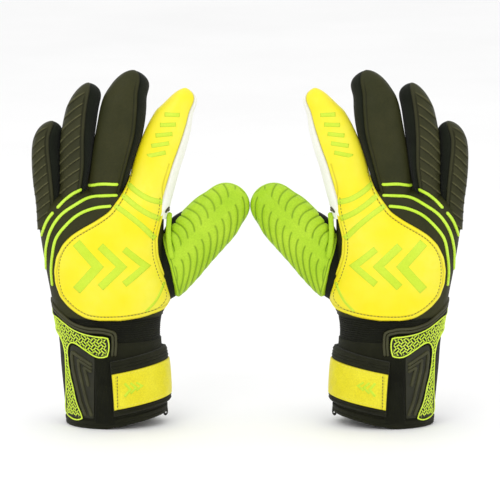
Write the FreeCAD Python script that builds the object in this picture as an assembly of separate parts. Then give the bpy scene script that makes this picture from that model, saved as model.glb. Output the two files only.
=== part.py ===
"""A pair of goalkeeper gloves, in millimetres, standing upright on their cuffs.

Frame: +Z up, fingers upward; the backs of the hands face -Y and the palms +Y. The pair's origin is
midway between the gloves, on the ground, in the middle of their depth. Each glove is drawn once, as
the left one, in its own frame (x 0 on the wrist's axis, thumb towards +x), and the right one is its mirror.
"""

import FreeCAD
import Part
import math
import os

from FreeCAD import Vector

# ---------------------------------------------------------------- driving dimensions, in mm
HALF_SPACING = 112.8  # from the pair's middle to each glove's own x = 0
MID_Y = 0.5  # of the cuff, so that the strap reaches equally far in front and behind
WALL = 4.0  # latex or foam with its backing and lining
FINGER_WALL = 3.2
CUFF_WALL = 4.0
SEAM_GAP = 0.05  # between two panels of one body, along a seam
JOINT_GAP = 0.3  # between two bodies, across a joint
WRIST_Z = (68.0, 87.0)  # the elastic band between the cuff and the hand
RIM_FLAT_TO_X = -2.0  # the rim is flat from the little-finger side to here
RIM_RISE = 0.2  # then it rises towards the thumb side, mm per mm
FINGER_FLEX = (60.0, 70.0)  # degrees, base and middle hinges
THUMB_FLEX = (35.0, 45.0)
FLEX_SPARE = 1.2  # degrees that each side of a joint's notch opens beyond half its flex
FAR = 400.0

# Hand and cuff, level by level: (z, middle x, half width, half depth, length of the rounded side).
HAND = [
    (0.0, 5.2, 39.6, 28.5, 37.0),
    (24.0, 4.4, 41.2, 29.0, 38.5),
    (48.0, 2.7, 41.7, 28.5, 39.0),
    (68.0, 0.2, 41.0, 27.2, 38.0),
    (87.0, -0.4, 43.0, 26.0, 37.0),
    (104.0, 1.8, 47.8, 25.0, 36.0),
    (126.0, -2.8, 47.6, 23.5, 31.0),
    (150.0, -6.2, 47.8, 21.5, 26.0),
    (174.0, -4.2, 53.0, 18.0, 19.0),
    (190.0, -2.0, 56.4, 15.8, 16.0),
    (212.0, 0.2, 59.0, 14.8, 15.0),
]

# Fingers: hinge at the base, hinge in the middle, and tip, each (x, y, z), then half widths and half
# depths at those two hinges and at the shoulder of the tip. Their hinges are parallel to X.
FINGERS = {
    "index": {
        "points": [(33.4, 0.0, 196.0), (42.9, 2.5, 233.6), (60.0, 8.5, 273.0)],
        "half_width": (19.4, 19.8, 14.8),
        "half_depth": (14.4, 14.0, 12.2),
    },
    "middle": {
        "points": [(-1.6, 0.0, 199.2), (7.0, 3.0, 241.6), (18.4, 9.5, 287.8)],
        "half_width": (14.2, 16.6, 15.4),
        "half_depth": (14.4, 14.0, 12.4),
    },
    "ring": {
        "points": [(-27.8, 0.0, 196.0), (-25.2, 3.0, 234.4), (-17.2, 9.0, 277.0)],
        "half_width": (10.6, 13.4, 12.2),
        "half_depth": (13.6, 13.2, 11.8),
    },
    "little": {
        "points": [(-48.8, 0.0, 182.0), (-50.4, 2.5, 212.0), (-46.6, 7.0, 246.6)],
        "half_width": (9.0, 10.0, 9.2),
        "half_depth": (12.4, 11.8, 10.6),
    },
}
KNUCKLE_EDGES = {  # the x range of the hand's top edge that carries each finger
    "little": (-80.0, -38.9),
    "ring": (-38.9, -16.6),
    "middle": (-16.6, 13.2),
    "index": (13.2, 90.0),
}
THUMB = {  # it leans 45 degrees, and its hinges lie square to it
    "along": (1.0, 0.0, 1.0),
    "points": [(67.3, 4.0, 150.3), (85.7, 6.0, 168.7), (105.3, 8.0, 188.3)],
    "half_width": (22.0, 22.0, 17.6),
    "half_depth": (15.4, 14.6, 12.0),
}
THUMB_ROOT_LENGTH = 40.0

# The yellow back panel's edge on the hand, from the index finger's root round to the thumb side.
BACK_PANEL_EDGE = [
    (13.2, 205.0),
    (12.4, 192.0),
    (7.1, 181.6),
    (-3.1, 170.1),
    (-21.0, 161.1),
    (-33.8, 149.7),
    (-40.8, 135.6),
    (-42.2, 123.0),
    (-40.0, 109.0),
    (-33.4, 97.0),
    (-22.0, 88.0),
    (-12.0, 84.0),
]
PANEL_SEAM = 0.15

# Strap: a band round the cuff between two parallel slanting planes.
STRAP_SLOPE = 0.2
STRAP_Z = (10.0, 55.0)  # lower and upper edge at x = 0
STRAP_LIFT = 0.4
STRAP_THICKNESS = 3.0
STRAP_END_X = 3.0  # its free end on the back of the wrist
PATCH_Z = (15.5, 45.0)
PATCH_THICKNESS = 1.0
PATCH_END_X = 4.0
ANCHOR_END_X = -26.0  # where the fixed end is sewn down, on the palm side

# Moulded guard on the back of the cuff, beside the strap.
GUARD_THICKNESS = 1.6
GUARD_EDGE = [
    (-44.0, 80.0),
    (-40.8, 91.0),
    (-27.3, 82.0),
    (-12.5, 76.6),
    (-2.5, 75.4),
    (0.9, 70.0),
    (0.9, 8.0),
    (-44.0, 8.0),
]


# ---------------------------------------------------------------- drawing helpers
def hand_level(z):
    """(middle x, half width, half depth, side length) of the hand at height z, straight between levels."""
    for low, high in zip(HAND, HAND[1:]):
        if z <= high[0]:
            share = (z - low[0]) / (high[0] - low[0])
            return [p + share * (q - p) for p, q in zip(low[1:], high[1:])]
    return list(HAND[-1][1:])


def levels_between(low, high):
    """The heights at which a piece of the hand from low to high needs a section."""
    return [low] + [row[0] for row in HAND if low < row[0] < high] + [high]


def quarter(place, start, corner, end):
    """A quarter of an ellipse from start to end, whose tangents meet at corner."""
    pull = 0.5523
    poles = [
        start,
        tuple(s + pull * (c - s) for s, c in zip(start, corner)),
        tuple(e + pull * (c - e) for e, c in zip(end, corner)),
        end,
    ]
    curve = Part.BezierCurve()
    curve.setPoles([place(*pole) for pole in poles])
    return curve.toShape()


def straight(place, start, end):
    return Part.LineSegment(place(*start), place(*end)).toShape()


def half_outline(place, a, b, side_length, side):
    """Edges of half a rounded section, from (a, 0) to (-a, 0) through (0, side * b)."""
    flat = a - side_length
    return [
        quarter(place, (a, 0), (a, side * b), (flat, side * b)),
        straight(place, (flat, side * b), (-flat, side * b)),
        quarter(place, (-flat, side * b), (-a, side * b), (-a, 0)),
    ]


def half_wire(place, a, b, side_length, side):
    """Half a filled section."""
    edges = half_outline(place, a, b, side_length, side)
    return Part.Wire(edges + [straight(place, (-a, 0), (a, 0))])


def half_ring_wire(place, a, b, side_length, side, wall):
    """Half a hollow section, the wall's thickness wide."""
    outer = half_outline(place, a, b, side_length, side)
    inner = half_outline(place, a - wall, b - wall, side_length - wall, side)
    inner = list(reversed(inner))
    ends = [
        straight(place, (-a, 0), (wall - a, 0)),
        straight(place, (a - wall, 0), (a, 0)),
    ]
    return Part.Wire(Part.__sortEdges__(outer + [ends[0]] + inner + [ends[1]]))


def rounding(a, b):
    """The rounded side's length in a section that is nearly an ellipse, or a circle at each end."""
    return 0.97 * min(a, b)


def whole_wire(place, a, b, side_length):
    edges = half_outline(place, a, b, side_length, -1)
    edges += list(reversed(half_outline(place, a, b, side_length, 1)))
    return Part.Wire(Part.__sortEdges__(edges))


def loft(wires):
    return Part.makeLoft(wires, True, True)


def hand_place(z, middle, side=0):
    """Maps a section's (across, depth) to the glove's frame at height z."""

    def place(p, q):
        return Vector(middle + p, MID_Y + q + side * SEAM_GAP, z)

    return place


def hand_solid(low, high, grow=0.0):
    """The filled hand between two heights, its surface moved outwards by grow."""
    wires = []
    for z in levels_between(low, high):
        middle, a, b, side_length = hand_level(z)
        wires.append(whole_wire(hand_place(z, middle), a + grow, b + grow, side_length + grow))
    return loft(wires)


def hand_skin(low, high, inner, outer):
    """A closed band round the hand between two distances from its surface."""
    return hand_solid(low, high, outer).cut(hand_solid(low - 1.0, high + 1.0, inner))


def half_hand(low, high, side, wall):
    """The back (side -1) or palm (side 1) half of the hand's shell."""
    wires = []
    for z in levels_between(low, high):
        middle, a, b, side_length = hand_level(z)
        wires.append(half_ring_wire(hand_place(z, middle, side), a, b, side_length, side, wall))
    return loft(wires)


def prism(outline, y_low, y_high):
    """A prism along Y over an outline of (x, z) points."""
    points = [Vector(x, y_low, z) for x, z in outline]
    face = Part.Face(Part.makePolygon(points + points[:1]))
    return face.extrude(Vector(0, y_high - y_low, 0))


def curved_prism(edge, closing, y_low, y_high):
    """A prism along Y whose outline is a smooth curve through edge, closed by straight lines."""
    curve = Part.BSplineCurve()
    curve.interpolate([Vector(x, y_low, z) for x, z in edge])
    ring = [edge[-1]] + closing + [edge[0]]
    lines = [
        Part.LineSegment(Vector(p[0], y_low, p[1]), Vector(q[0], y_low, q[1])).toShape()
        for p, q in zip(ring, ring[1:])
    ]
    face = Part.Face(Part.Wire([curve.toShape()] + lines))
    return face.extrude(Vector(0, y_high - y_low, 0))


# ---------------------------------------------------------------- fingers and thumb
class Section:
    """A cross-section of a finger: its middle, the directions across and palmwards, and along."""

    def __init__(self, middle, along):
        self.middle = Vector(*middle)
        self.along = Vector(*along).normalize()
        self.across = Vector(self.along.z, 0, -self.along.x).normalize()
        self.palmward = self.along.cross(self.across)

    def moved(self, distance):
        return Section(self.middle + self.along * distance, self.along)

    def place(self, side, notch=0.0, gap=0.0):
        """Maps (across, palmward) to the glove's frame. The plane leans by notch degrees from its
        hinge line, and stands off by gap; both are along the finger, and may be negative."""
        lean = math.tan(math.radians(notch))

        def put(p, q):
            along = gap + lean * abs(q)
            point = self.middle + self.across * p + self.palmward * (q + side * SEAM_GAP)
            return point + self.along * along

        return put


def finger_sections(finger):
    """Sections at the base hinge, at the middle hinge and along the tip's own direction."""
    base, middle, tip = [Vector(*p) for p in finger["points"]]
    along = finger.get("along", (0.0, 0.0, 1.0))
    return Section(base, along), Section(middle, along), Section(middle, tip - middle)


def notch_angle(flex, side):
    """How far a palm half's end leans back from its hinge; a back half's end does not."""
    return flex / 2 + FLEX_SPARE if side > 0 else 0.0


def finger_base(finger, side, flex):
    """One half, back or palm, of the shell between the two hinges."""
    wires = []
    for end, (section, way) in enumerate(zip(finger_sections(finger), (1, -1))):
        a, b = finger["half_width"][end], finger["half_depth"][end]
        place = section.place(side, way * notch_angle(flex[end], side), way * JOINT_GAP / 2)
        wires.append(half_ring_wire(place, a, b, rounding(a, b), side, FINGER_WALL))
    return loft(wires)


# Along a finger's last joint: share of its length, share of the way from the hinge's size to the
# shoulder's, and how much of that size is left as it rounds off.
TIP_SHAPE = [(0.38, 0.3, 1.0), (0.68, 1.0, 1.0), (0.86, 1.0, 0.82), (0.96, 1.0, 0.54), (1.0, 1.0, 0.28)]


def tip_profile(finger, shrink):
    """(section or None at the hinge, half width, half depth) along the last joint; shrink leaves a wall."""
    widths, depths = finger["half_width"], finger["half_depth"]
    last = finger_sections(finger)[2]
    length = (Vector(*finger["points"][2]) - Vector(*finger["points"][1])).Length
    across, deep = 1.0 - shrink / widths[2], 1.0 - shrink / depths[2]
    profile = [(None, widths[1] * across, depths[1] * deep)]
    for share, step, left in TIP_SHAPE:
        a = (widths[1] + step * (widths[2] - widths[1])) * left * across
        b = (depths[1] + step * (depths[2] - depths[1])) * left * deep
        profile.append((last.moved(share * (length - shrink)), a, b))
    return profile


def finger_tip(finger, side, flex):
    """One half of the closed end, from the middle hinge on."""
    low = finger_sections(finger)[1]
    start = low.place(side, notch_angle(flex[1], side), JOINT_GAP / 2)
    outer = []
    for section, a, b in tip_profile(finger, 0.0):
        place = section.place(side) if section else start
        outer.append(half_wire(place, a, b, rounding(a, b), side))
    inner = []
    for section, a, b in tip_profile(finger, FINGER_WALL):
        place = section.place(0) if section else low.place(0, 0.0, -2.0)
        inner.append(whole_wire(place, a, b, rounding(a, b)))
    return loft(outer).cut(loft(inner))


def knuckle_cutter(name, side):
    """What is cut off the hand's top edge above one finger's hinge; on the palm side its floor slopes
    away from the hinge line, which leaves the notch that the finger flexes into."""
    section = finger_sections(FINGERS[name])[0]
    low, high = KNUCKLE_EDGES[name]
    slope = math.tan(math.radians(notch_angle(FINGER_FLEX[0], side)))
    reach = 60.0
    corners = [(-reach, 0), (0, 0), (reach, -slope * reach), (reach, reach), (-reach, reach)]
    start = Vector(low, section.middle.y, section.middle.z - JOINT_GAP / 2)
    points = [start + Vector(0, y, z) for y, z in corners]
    return Part.Face(Part.makePolygon(points + points[:1])).extrude(Vector(high - low, 0, 0))


def thumb_tube(shrink, length):
    """The thumb's root, from its base hinge down into the hand, its surface moved in by shrink."""
    section = finger_sections(THUMB)[0]
    wires = []
    for distance, grow in ((0.0, 0.0), (-length, 1.5)):
        a = THUMB["half_width"][0] + grow - shrink
        b = THUMB["half_depth"][0] + grow - shrink
        wires.append(whole_wire(section.moved(distance).place(0), a, b, rounding(a, b)))
    return loft(wires)


def thumb_root(hand):
    """The fixed saddle under the thumb, notched on the palm side for the thumb's flex."""
    section = finger_sections(THUMB)[0]
    tube = thumb_tube(0.0, THUMB_ROOT_LENGTH).cut(thumb_tube(WALL, THUMB_ROOT_LENGTH + 20.0))
    slope = math.tan(math.radians(notch_angle(THUMB_FLEX[0], 1)))
    reach = 60.0
    ends = [(-reach, 0), (0, 0), (reach, -slope * reach), (reach, reach), (-reach, reach)]
    start = section.middle - section.along * (JOINT_GAP / 2) - section.across * 60.0
    points = [start + Vector(0, y, 0) + section.along * t for y, t in ends]
    notch = Part.Face(Part.makePolygon(points + points[:1])).extrude(section.across * 120.0)
    pieces = tube.cut(notch).cut(hand)
    return max(pieces.Solids, key=lambda s: s.Volume)


# ---------------------------------------------------------------- the glove's nodes
def hand_nodes():
    """Palm, back panel and knuckle panel, with the thumb's passage through them, and the thumb root."""
    top = HAND[-1][0]
    low = WRIST_Z[1] + SEAM_GAP
    passage = thumb_tube(WALL, THUMB_ROOT_LENGTH)
    halves = {}
    for side in (-1, 1):
        half = half_hand(low, top, side, WALL)
        for name in FINGERS:
            half = half.cut(knuckle_cutter(name, side))
        halves[side] = half.cut(passage)
    panel = curved_prism(BACK_PANEL_EDGE, [(90, 84), (90, 230), (13.2, 230)], -FAR, FAR)
    around = curved_prism(
        [(x - PANEL_SEAM, z) for x, z in BACK_PANEL_EDGE],
        [(90, 84), (90, 230), (13.2 - PANEL_SEAM, 230)],
        -FAR,
        FAR,
    )
    return {
        "palm_latex": halves[1],
        "back_panel": halves[-1].common(panel),
        "knuckle_panel": halves[-1].cut(around),
        "thumb_root": thumb_root(hand_solid(WRIST_Z[1], top, SEAM_GAP)),
    }


def rim_cutter():
    """Below the rim's rising part, on the thumb side."""
    far = 90.0
    rise = (far - RIM_FLAT_TO_X) * RIM_RISE
    return prism([(RIM_FLAT_TO_X, 0), (far, rise), (far, -10), (RIM_FLAT_TO_X, -10)], -FAR, FAR)


def cuff_nodes():
    low, high = WRIST_Z
    cuff = hand_skin(0.0, low - SEAM_GAP, -CUFF_WALL, 0.0)
    guard = hand_skin(2.0, 86.0, SEAM_GAP, GUARD_THICKNESS)
    front = curved_prism(GUARD_EDGE[1:5], GUARD_EDGE[5:] + [GUARD_EDGE[0]], -FAR, MID_Y - 1.0)
    return {
        "cuff": cuff.cut(rim_cutter()),
        "elastic_wristband": hand_skin(low, high, -CUFF_WALL, 0.0),
        "cuff_guard": guard.common(front),
    }


def slanted_band(z_range, x_range, y_range):
    """The space between two slanting planes, over a range of x and y."""
    (low, high), (left, right) = z_range, x_range
    outline = [
        (left, low + STRAP_SLOPE * left),
        (right, low + STRAP_SLOPE * right),
        (right, high + STRAP_SLOPE * right),
        (left, high + STRAP_SLOPE * left),
    ]
    return prism(outline, *y_range)


def strap_nodes():
    inner, outer = STRAP_LIFT, STRAP_LIFT + STRAP_THICKNESS
    band = hand_skin(2.0, 72.0, inner, outer)
    patch = hand_skin(2.0, 72.0, outer + SEAM_GAP, outer + PATCH_THICKNESS)
    hinge_y = MID_Y
    front = (-FAR, hinge_y - JOINT_GAP)
    flap = band.common(slanted_band(STRAP_Z, (STRAP_END_X, 80.0), front))
    behind = (hinge_y + JOINT_GAP, FAR)
    anchor = band.common(slanted_band(STRAP_Z, (ANCHOR_END_X, 80.0), behind))
    return {
        "strap_flap": flap,
        "strap_anchor": anchor,
        "strap_patch": patch.common(slanted_band(PATCH_Z, (PATCH_END_X, 80.0), (-FAR, hinge_y - 6.0))),
    }


def digit_nodes():
    nodes = {}
    for name, finger in [*FINGERS.items(), ("thumb", THUMB)]:
        flex = THUMB_FLEX if name == "thumb" else FINGER_FLEX
        for part, side in (("back", -1), ("palm", 1)):
            nodes[f"{name}_base_{part}"] = finger_base(finger, side, flex)
            nodes[f"{name}_tip_{part}"] = finger_tip(finger, side, flex)
    return nodes


def glove_nodes():
    return {**hand_nodes(), **cuff_nodes(), **strap_nodes(), **digit_nodes()}


def main():
    os.makedirs("parts", exist_ok=True)
    for name, shape in glove_nodes().items():
        solids = sorted(shape.Solids, key=lambda s: s.Volume)
        left = Part.makeCompound(solids) if len(solids) > 1 else solids[0]
        left = left.translated(Vector(-HALF_SPACING, 0, 0))
        right = left.mirror(Vector(0, 0, 0), Vector(1, 0, 0))
        box = left.BoundBox
        print(
            f"{name:20s} solids {len(solids)} volume {shape.Volume / 1000:7.2f} cm3 valid {shape.isValid()}"
            f" y {box.YMin:.1f}..{box.YMax:.1f} z {box.ZMin:.1f}..{box.ZMax:.1f}"
        )
        left.exportStep(f"parts/left_{name}.step")
        right.exportStep(f"parts/right_{name}.step")


main()
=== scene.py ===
"""A pair of goalkeeper gloves: every visible piece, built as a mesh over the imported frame.

Each glove is drawn once, in millimetres, in its own frame: x from the wrist's middle towards the thumb, y
from the back of the hand towards the palm, z up. It is then placed as the left glove and mirrored as the
right one.
"""

import math

import bpy
import numpy as np
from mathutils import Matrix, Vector
from mathutils.bvhtree import BVHTree
from mathutils.geometry import delaunay_2d_cdt


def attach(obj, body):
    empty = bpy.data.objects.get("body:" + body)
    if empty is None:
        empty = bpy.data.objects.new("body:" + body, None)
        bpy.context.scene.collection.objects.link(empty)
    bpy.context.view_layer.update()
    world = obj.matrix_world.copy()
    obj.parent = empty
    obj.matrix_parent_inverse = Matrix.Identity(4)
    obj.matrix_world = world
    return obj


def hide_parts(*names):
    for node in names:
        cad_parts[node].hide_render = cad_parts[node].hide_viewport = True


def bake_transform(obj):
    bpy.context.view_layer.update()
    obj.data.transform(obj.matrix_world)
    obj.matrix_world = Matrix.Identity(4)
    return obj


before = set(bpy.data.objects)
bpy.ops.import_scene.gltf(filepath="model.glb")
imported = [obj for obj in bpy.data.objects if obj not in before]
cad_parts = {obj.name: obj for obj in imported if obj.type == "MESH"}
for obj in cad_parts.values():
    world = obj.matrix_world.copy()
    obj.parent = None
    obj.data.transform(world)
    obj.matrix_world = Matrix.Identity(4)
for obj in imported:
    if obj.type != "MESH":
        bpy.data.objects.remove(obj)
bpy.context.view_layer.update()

MM = 0.001
SIDES = {"left": -1.0, "right": 1.0}
HALF_SPACING = 112.8  # from the pair's middle to each glove's own x = 0
MID_Y = 0.5
FAR = 250.0  # a distance that clears the whole glove
FINE = 1.0  # share of the full mesh density
FLAT_SCALE = 100.0  # millimetres of the flat coordinate to one unit of the UV map
BLUNT = 0.15  # width left at the very end of a raised strip, as a share
THIN = 0.02  # mm left where a finger or the hand's top closes, so that its faces keep an area
TINY = 1e-9

# Hand and cuff, level by level: z, middle x, half width, half depth, length of the rounded side.
LEVELS = np.array([
    (-2.0, 5.3, 39.5, 28.4, 37.0),
    (24.0, 4.4, 41.2, 29.0, 38.5),
    (48.0, 2.7, 41.7, 28.5, 39.0),
    (68.0, 0.6, 41.0, 27.2, 38.0),
    (87.0, -0.4, 43.0, 26.0, 37.0),
    (104.0, 0.6, 47.0, 25.0, 36.0),
    (126.0, -2.8, 47.6, 23.5, 31.0),
    (150.0, -5.2, 49.0, 21.5, 27.0),
    (174.0, -6.2, 50.8, 18.0, 21.0),
    (190.0, -5.4, 52.2, 15.8, 17.0),
    (212.0, -2.0, 55.0, 14.8, 15.0),
])

# Fingers, from root to shoulder: x, y, z, half width, half depth. Then the tip.
FINGERS = {
    "index": {
        "stations": [
            (29.0, 0.0, 171.0, 17.8, 14.6), (34.4, 0.0, 193.0, 18.3, 14.6),
            (39.3, 1.0, 212.0, 18.5, 14.6), (45.6, 2.5, 230.0, 18.0, 14.4),
            (51.2, 4.6, 244.8, 15.9, 13.6), (55.2, 6.2, 254.6, 13.4, 12.4),
        ],
        "tip": (62.6, 8.6, 270.2),
        "seam": (0.62, 0.64, 0.66, 0.72, 0.84),
        "tip_outer": 1.2,
    },
    "middle": {
        "stations": [
            (-4.0, 0.0, 177.0, 13.6, 14.2), (-0.2, 0.0, 198.0, 15.3, 14.6),
            (4.2, 1.0, 218.0, 17.2, 14.6), (9.4, 3.0, 239.0, 18.6, 14.4),
            (12.6, 5.0, 256.5, 18.0, 14.0), (15.4, 6.8, 268.0, 16.0, 12.8),
        ],
        "tip": (21.8, 9.5, 284.4),
        "seam": (0.78, 0.76, 0.7, 0.6, 0.45),
    },
    "ring": {
        "stations": [
            (-29.6, 0.0, 173.0, 10.4, 13.4), (-27.9, 0.0, 195.0, 10.8, 13.8),
            (-26.0, 1.0, 212.0, 12.8, 13.8), (-24.5, 3.0, 231.5, 13.4, 13.4),
            (-22.1, 5.0, 246.5, 13.1, 12.8), (-19.5, 6.6, 258.5, 12.4, 12.0),
        ],
        "tip": (-14.8, 9.0, 274.6),
        "seam": (0.72, 0.66, 0.5, 0.32, 0.2),
    },
    "little": {
        "stations": [
            (-48.2, 0.0, 159.0, 8.8, 12.0), (-48.4, 0.0, 181.0, 9.8, 12.6),
            (-49.0, 1.0, 195.0, 11.1, 12.4), (-49.4, 2.5, 209.5, 11.8, 11.8),
            (-49.4, 4.4, 223.0, 11.6, 11.0), (-48.4, 5.6, 232.5, 10.8, 10.2),
        ],
        "tip": (-43.6, 7.2, 244.0),
        "seam": (0.68, 0.6, 0.42, 0.24, 0.14),
    },
}
RIBBED = ("ring", "little")
SEWN_GROOVE = 3.4  # distance of a padded panel's sewn groove from its edge


# ---------------------------------------------------------------- numbers and curves
def smooth_step(x, low, high):
    t = np.clip((np.asarray(x, float) - low) / (high - low), 0.0, 1.0)
    return t * t * (3.0 - 2.0 * t)


def through(xs, ys, x):
    """A smooth curve y(x) through the given points, with no overshoot beyond its ends."""
    xs, ys, x = np.asarray(xs, float), np.asarray(ys, float), np.asarray(x, float)
    slopes = np.gradient(ys, xs)
    i = np.clip(np.searchsorted(xs, x) - 1, 0, len(xs) - 2)
    width = xs[i + 1] - xs[i]
    t = np.clip((x - xs[i]) / width, 0.0, 1.0)
    return (
        ys[i] * (1 + 2 * t) * (1 - t) ** 2
        + slopes[i] * width * t * (1 - t) ** 2
        + ys[i + 1] * t * t * (3 - 2 * t)
        + slopes[i + 1] * width * t * t * (t - 1)
    )


def distances(points):
    """Distance along a line of points to each of them."""
    return np.concatenate([[0.0], np.cumsum(np.linalg.norm(np.diff(points, axis=0), axis=1))])


def length_of(points):
    return float(distances(points)[-1])


def picked(line, at, want):
    """The places on a line, whose points lie at the distances at, that lie at the distances want."""
    return np.stack([np.interp(want, at, line[:, k]) for k in range(line.shape[1])], axis=1)


def polyline(points, count):
    """Count points spaced evenly along a smooth curve through the given ones."""
    points = np.asarray(points, float)
    at = distances(points)
    fine = np.linspace(at[0], at[-1], 40 * len(points))
    dense = np.stack([through(at, points[:, k], fine) for k in range(points.shape[1])], axis=1)
    length = distances(dense)
    return picked(dense, length, np.linspace(0.0, length[-1], count))


def soften(line, times=1):
    """Evens out a line of values or points, apart from its ends."""
    for _ in range(times):
        line[1:-1] = 0.25 * line[:-2] + 0.5 * line[1:-1] + 0.25 * line[2:]


def crowd(count, pull=0.55):
    """Values from 0 to 1, closer together near both ends."""
    t = np.linspace(0.0, 1.0, max(4, int(count)))
    return t - pull * np.sin(2 * math.pi * t) / (2 * math.pi)


def unit(v):
    return v / np.maximum(np.linalg.norm(v, axis=-1, keepdims=True), TINY)


def grid_normals(points):
    """Unit normals of a grid of points, on the side where rows x columns turn."""
    down = np.gradient(points, axis=0)
    across = np.gradient(points, axis=1)
    return unit(np.cross(down, across))


def facing(normals, away):
    """The same normals, turned where needed to look the way that away points."""
    return normals * np.where(np.sum(normals * away) < 0, -1.0, 1.0)


def edge_distance(points):
    """Distance along the rows and columns from each grid point to the grid's nearest sides, in order
    first row, last row, first column, last column."""
    down = np.linalg.norm(np.diff(points, axis=0), axis=2)
    across = np.linalg.norm(np.diff(points, axis=1), axis=2)
    top = np.vstack([np.zeros((1, points.shape[1])), np.cumsum(down, axis=0)])
    left = np.hstack([np.zeros((points.shape[0], 1)), np.cumsum(across, axis=1)])
    return top, top[-1:] - top, left, left[:, -1:] - left


def rounded(distance, radius):
    """Height of a rounded edge, 0 at the edge and 1 from radius inwards."""
    t = np.clip(distance / radius, 0.0, 1.0)
    return np.sqrt(1.0 - (1.0 - t) ** 2)


def dip(distance, width):
    """A soft groove or ridge: 1 at distance 0, fading to 0 at width."""
    return np.clip(1.0 - (distance / width) ** 2, 0.0, 1.0) ** 2


# ---------------------------------------------------------------- meshes
def toned(shade, light=0.0):
    """A piece's two tones: how much painted shade darkens it at its edges, seams, grooves and folds, and how
    much of its second colour shows, which is print on the yellow and a painted highlight on the ribbed
    fingers' ridges.
    """
    return np.stack(np.broadcast_arrays(np.clip(shade, 0, 1), np.clip(light, 0, 1)), axis=-1)


class Mesh:
    """Points, each with a flat coordinate, two tones and whether its edges are sharp, and faces."""

    def __init__(self):
        self.parts = []
        self.count = 0

    def add(self, points, faces, flat=None, tone=None, hard=None):
        n = len(points)
        flat = points[:, [0, 2]] if flat is None else flat
        tone = np.zeros((n, 2)) if tone is None else tone
        hard = np.zeros(n, bool) if hard is None else hard
        self.parts.append((points, flat, tone, np.asarray(faces, int) + self.count, hard))
        self.count += n
        return self

    def arrays(self):
        return tuple(np.concatenate(values) for values in zip(*self.parts))


def grid_faces(rows, columns, start=0):
    index = np.arange(rows * columns).reshape(rows, columns) + start
    quads = np.stack([index[:-1, :-1], index[:-1, 1:], index[1:, 1:], index[1:, :-1]], axis=-1)
    return quads.reshape(-1, 4)


def slab(outer, inner, tone=None, mesh=None, hard_rows=()):
    """A closed sheet between two grids of points, facing outwards. hard_rows are rows with a sharp edge."""
    rows, columns = outer.shape[:2]
    n = rows * columns
    if np.sum(grid_normals(outer) * (outer - inner)) < 0:
        outer, inner = outer[:, ::-1], inner[:, ::-1]
        tone = None if tone is None else tone[:, ::-1]
    index = np.arange(n).reshape(rows, columns)
    rim_line = np.concatenate([index[0], index[1:, -1], index[-1, -2::-1], index[-2:0:-1, 0]])
    after = np.roll(rim_line, -1)
    wall = np.stack([rim_line, after, after + n, rim_line + n], axis=1)
    faces = np.vstack([grid_faces(rows, columns)[:, ::-1], grid_faces(rows, columns, start=n), wall])
    hard = np.zeros((rows, columns), bool)
    hard[list(hard_rows)] = True
    points = np.concatenate([outer.reshape(n, 3), inner.reshape(n, 3)])
    flat = np.tile(points[:n, [0, 2]], (2, 1))
    tone = None if tone is None else np.tile(tone.reshape(n, 2), (2, 1))
    return (mesh or Mesh()).add(points, faces, flat, tone, np.tile(hard.ravel(), 2))


def tube_mesh(path, normals, profile, closed=False, mesh=None):
    """A strip of the given profile, as (across, up) points, swept along a path on a surface."""
    n, m = len(path), len(profile)
    width = np.ones(n)
    if closed:
        ahead = np.roll(path, -1, axis=0) - np.roll(path, 1, axis=0)
    else:
        ahead = np.gradient(path, axis=0)
        reach = distances(path)
        half_width = max(abs(side) for side, _ in profile)
        width = BLUNT + (1 - BLUNT) * rounded(np.minimum(reach, reach[-1] - reach), half_width)
    normals = unit(normals)
    across = unit(np.cross(ahead, normals))
    rings = np.empty((n, m, 3))
    for k, (side, up) in enumerate(profile):
        rings[:, k] = path + across * (side * width)[:, None] + normals * (up * (0.3 + 0.7 * width))[:, None]
    index = np.arange(n * m).reshape(n, m)
    if closed:
        index = np.vstack([index, index[:1]])
    following = np.roll(index, -1, axis=1)
    faces = np.stack([index[:-1], index[1:], following[1:], following[:-1]], axis=-1).reshape(-1, 4)
    points = rings.reshape(-1, 3)
    if not closed:
        caps = path[[0, -1]] + normals[[0, -1]] * np.mean([up for _, up in profile])
        points = np.vstack([points, caps])
        first, last = n * m, n * m + 1
        ends = [(first, index[0, k], following[0, k], following[0, k]) for k in range(m)]
        ends += [(last, following[-1, k], index[-1, k], index[-1, k]) for k in range(m)]
        faces = np.vstack([faces, np.array(ends)])
    return (mesh or Mesh()).add(points, faces)


def half_round(width, height, steps=7, sink=0.35):
    """A raised bead's profile, as (across, up) points."""
    arc = [(-math.cos(a) * width / 2, math.sin(a) ** 0.7 * height) for a in np.linspace(0, math.pi, steps)]
    return [(-width / 2, -sink)] + arc + [(width / 2, -sink)]


def build_object(name, mesh, look, side):
    """One mesh object in the row frame, in metres, from a glove's mesh in millimetres."""
    points, flat, tone, faces, hard = mesh.arrays()
    sign = SIDES[side]
    world = np.stack([sign * (HALF_SPACING - points[:, 0]), points[:, 1], points[:, 2]], axis=1) * MM
    faces = faces if sign < 0 else faces[:, ::-1]
    lists = [tuple(dict.fromkeys(face)) for face in faces.tolist()]  # a triangle comes with a double corner
    data = bpy.data.meshes.new(name)
    data.from_pydata(world.tolist(), [], [face for face in lists if len(face) > 2])
    data.polygons.foreach_set("use_smooth", np.ones(len(data.polygons), bool))
    data.materials.append(MATERIALS[look])
    ends = np.empty(2 * len(data.edges), np.int32)
    data.edges.foreach_get("vertices", ends)
    data.edges.foreach_set("use_edge_sharp", hard[ends].reshape(-1, 2).all(axis=1))
    corners = np.empty(len(data.loops), np.int32)
    data.loops.foreach_get("vertex_index", corners)
    uv = data.uv_layers.new(name="Flat")
    uv.data.foreach_set("uv", (flat[corners] / FLAT_SCALE).astype(np.float32).ravel())
    # the first tone is painted shade; the second is print and painted highlight
    for column, label in enumerate(("painted_shade", "print_and_highlight")):
        layer = data.attributes.new(label, "FLOAT", "POINT")
        layer.data.foreach_set("value", tone[:, column].astype(np.float32))
    data.update()
    obj = bpy.data.objects.new(name, data)
    bpy.context.scene.collection.objects.link(obj)
    return obj


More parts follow.
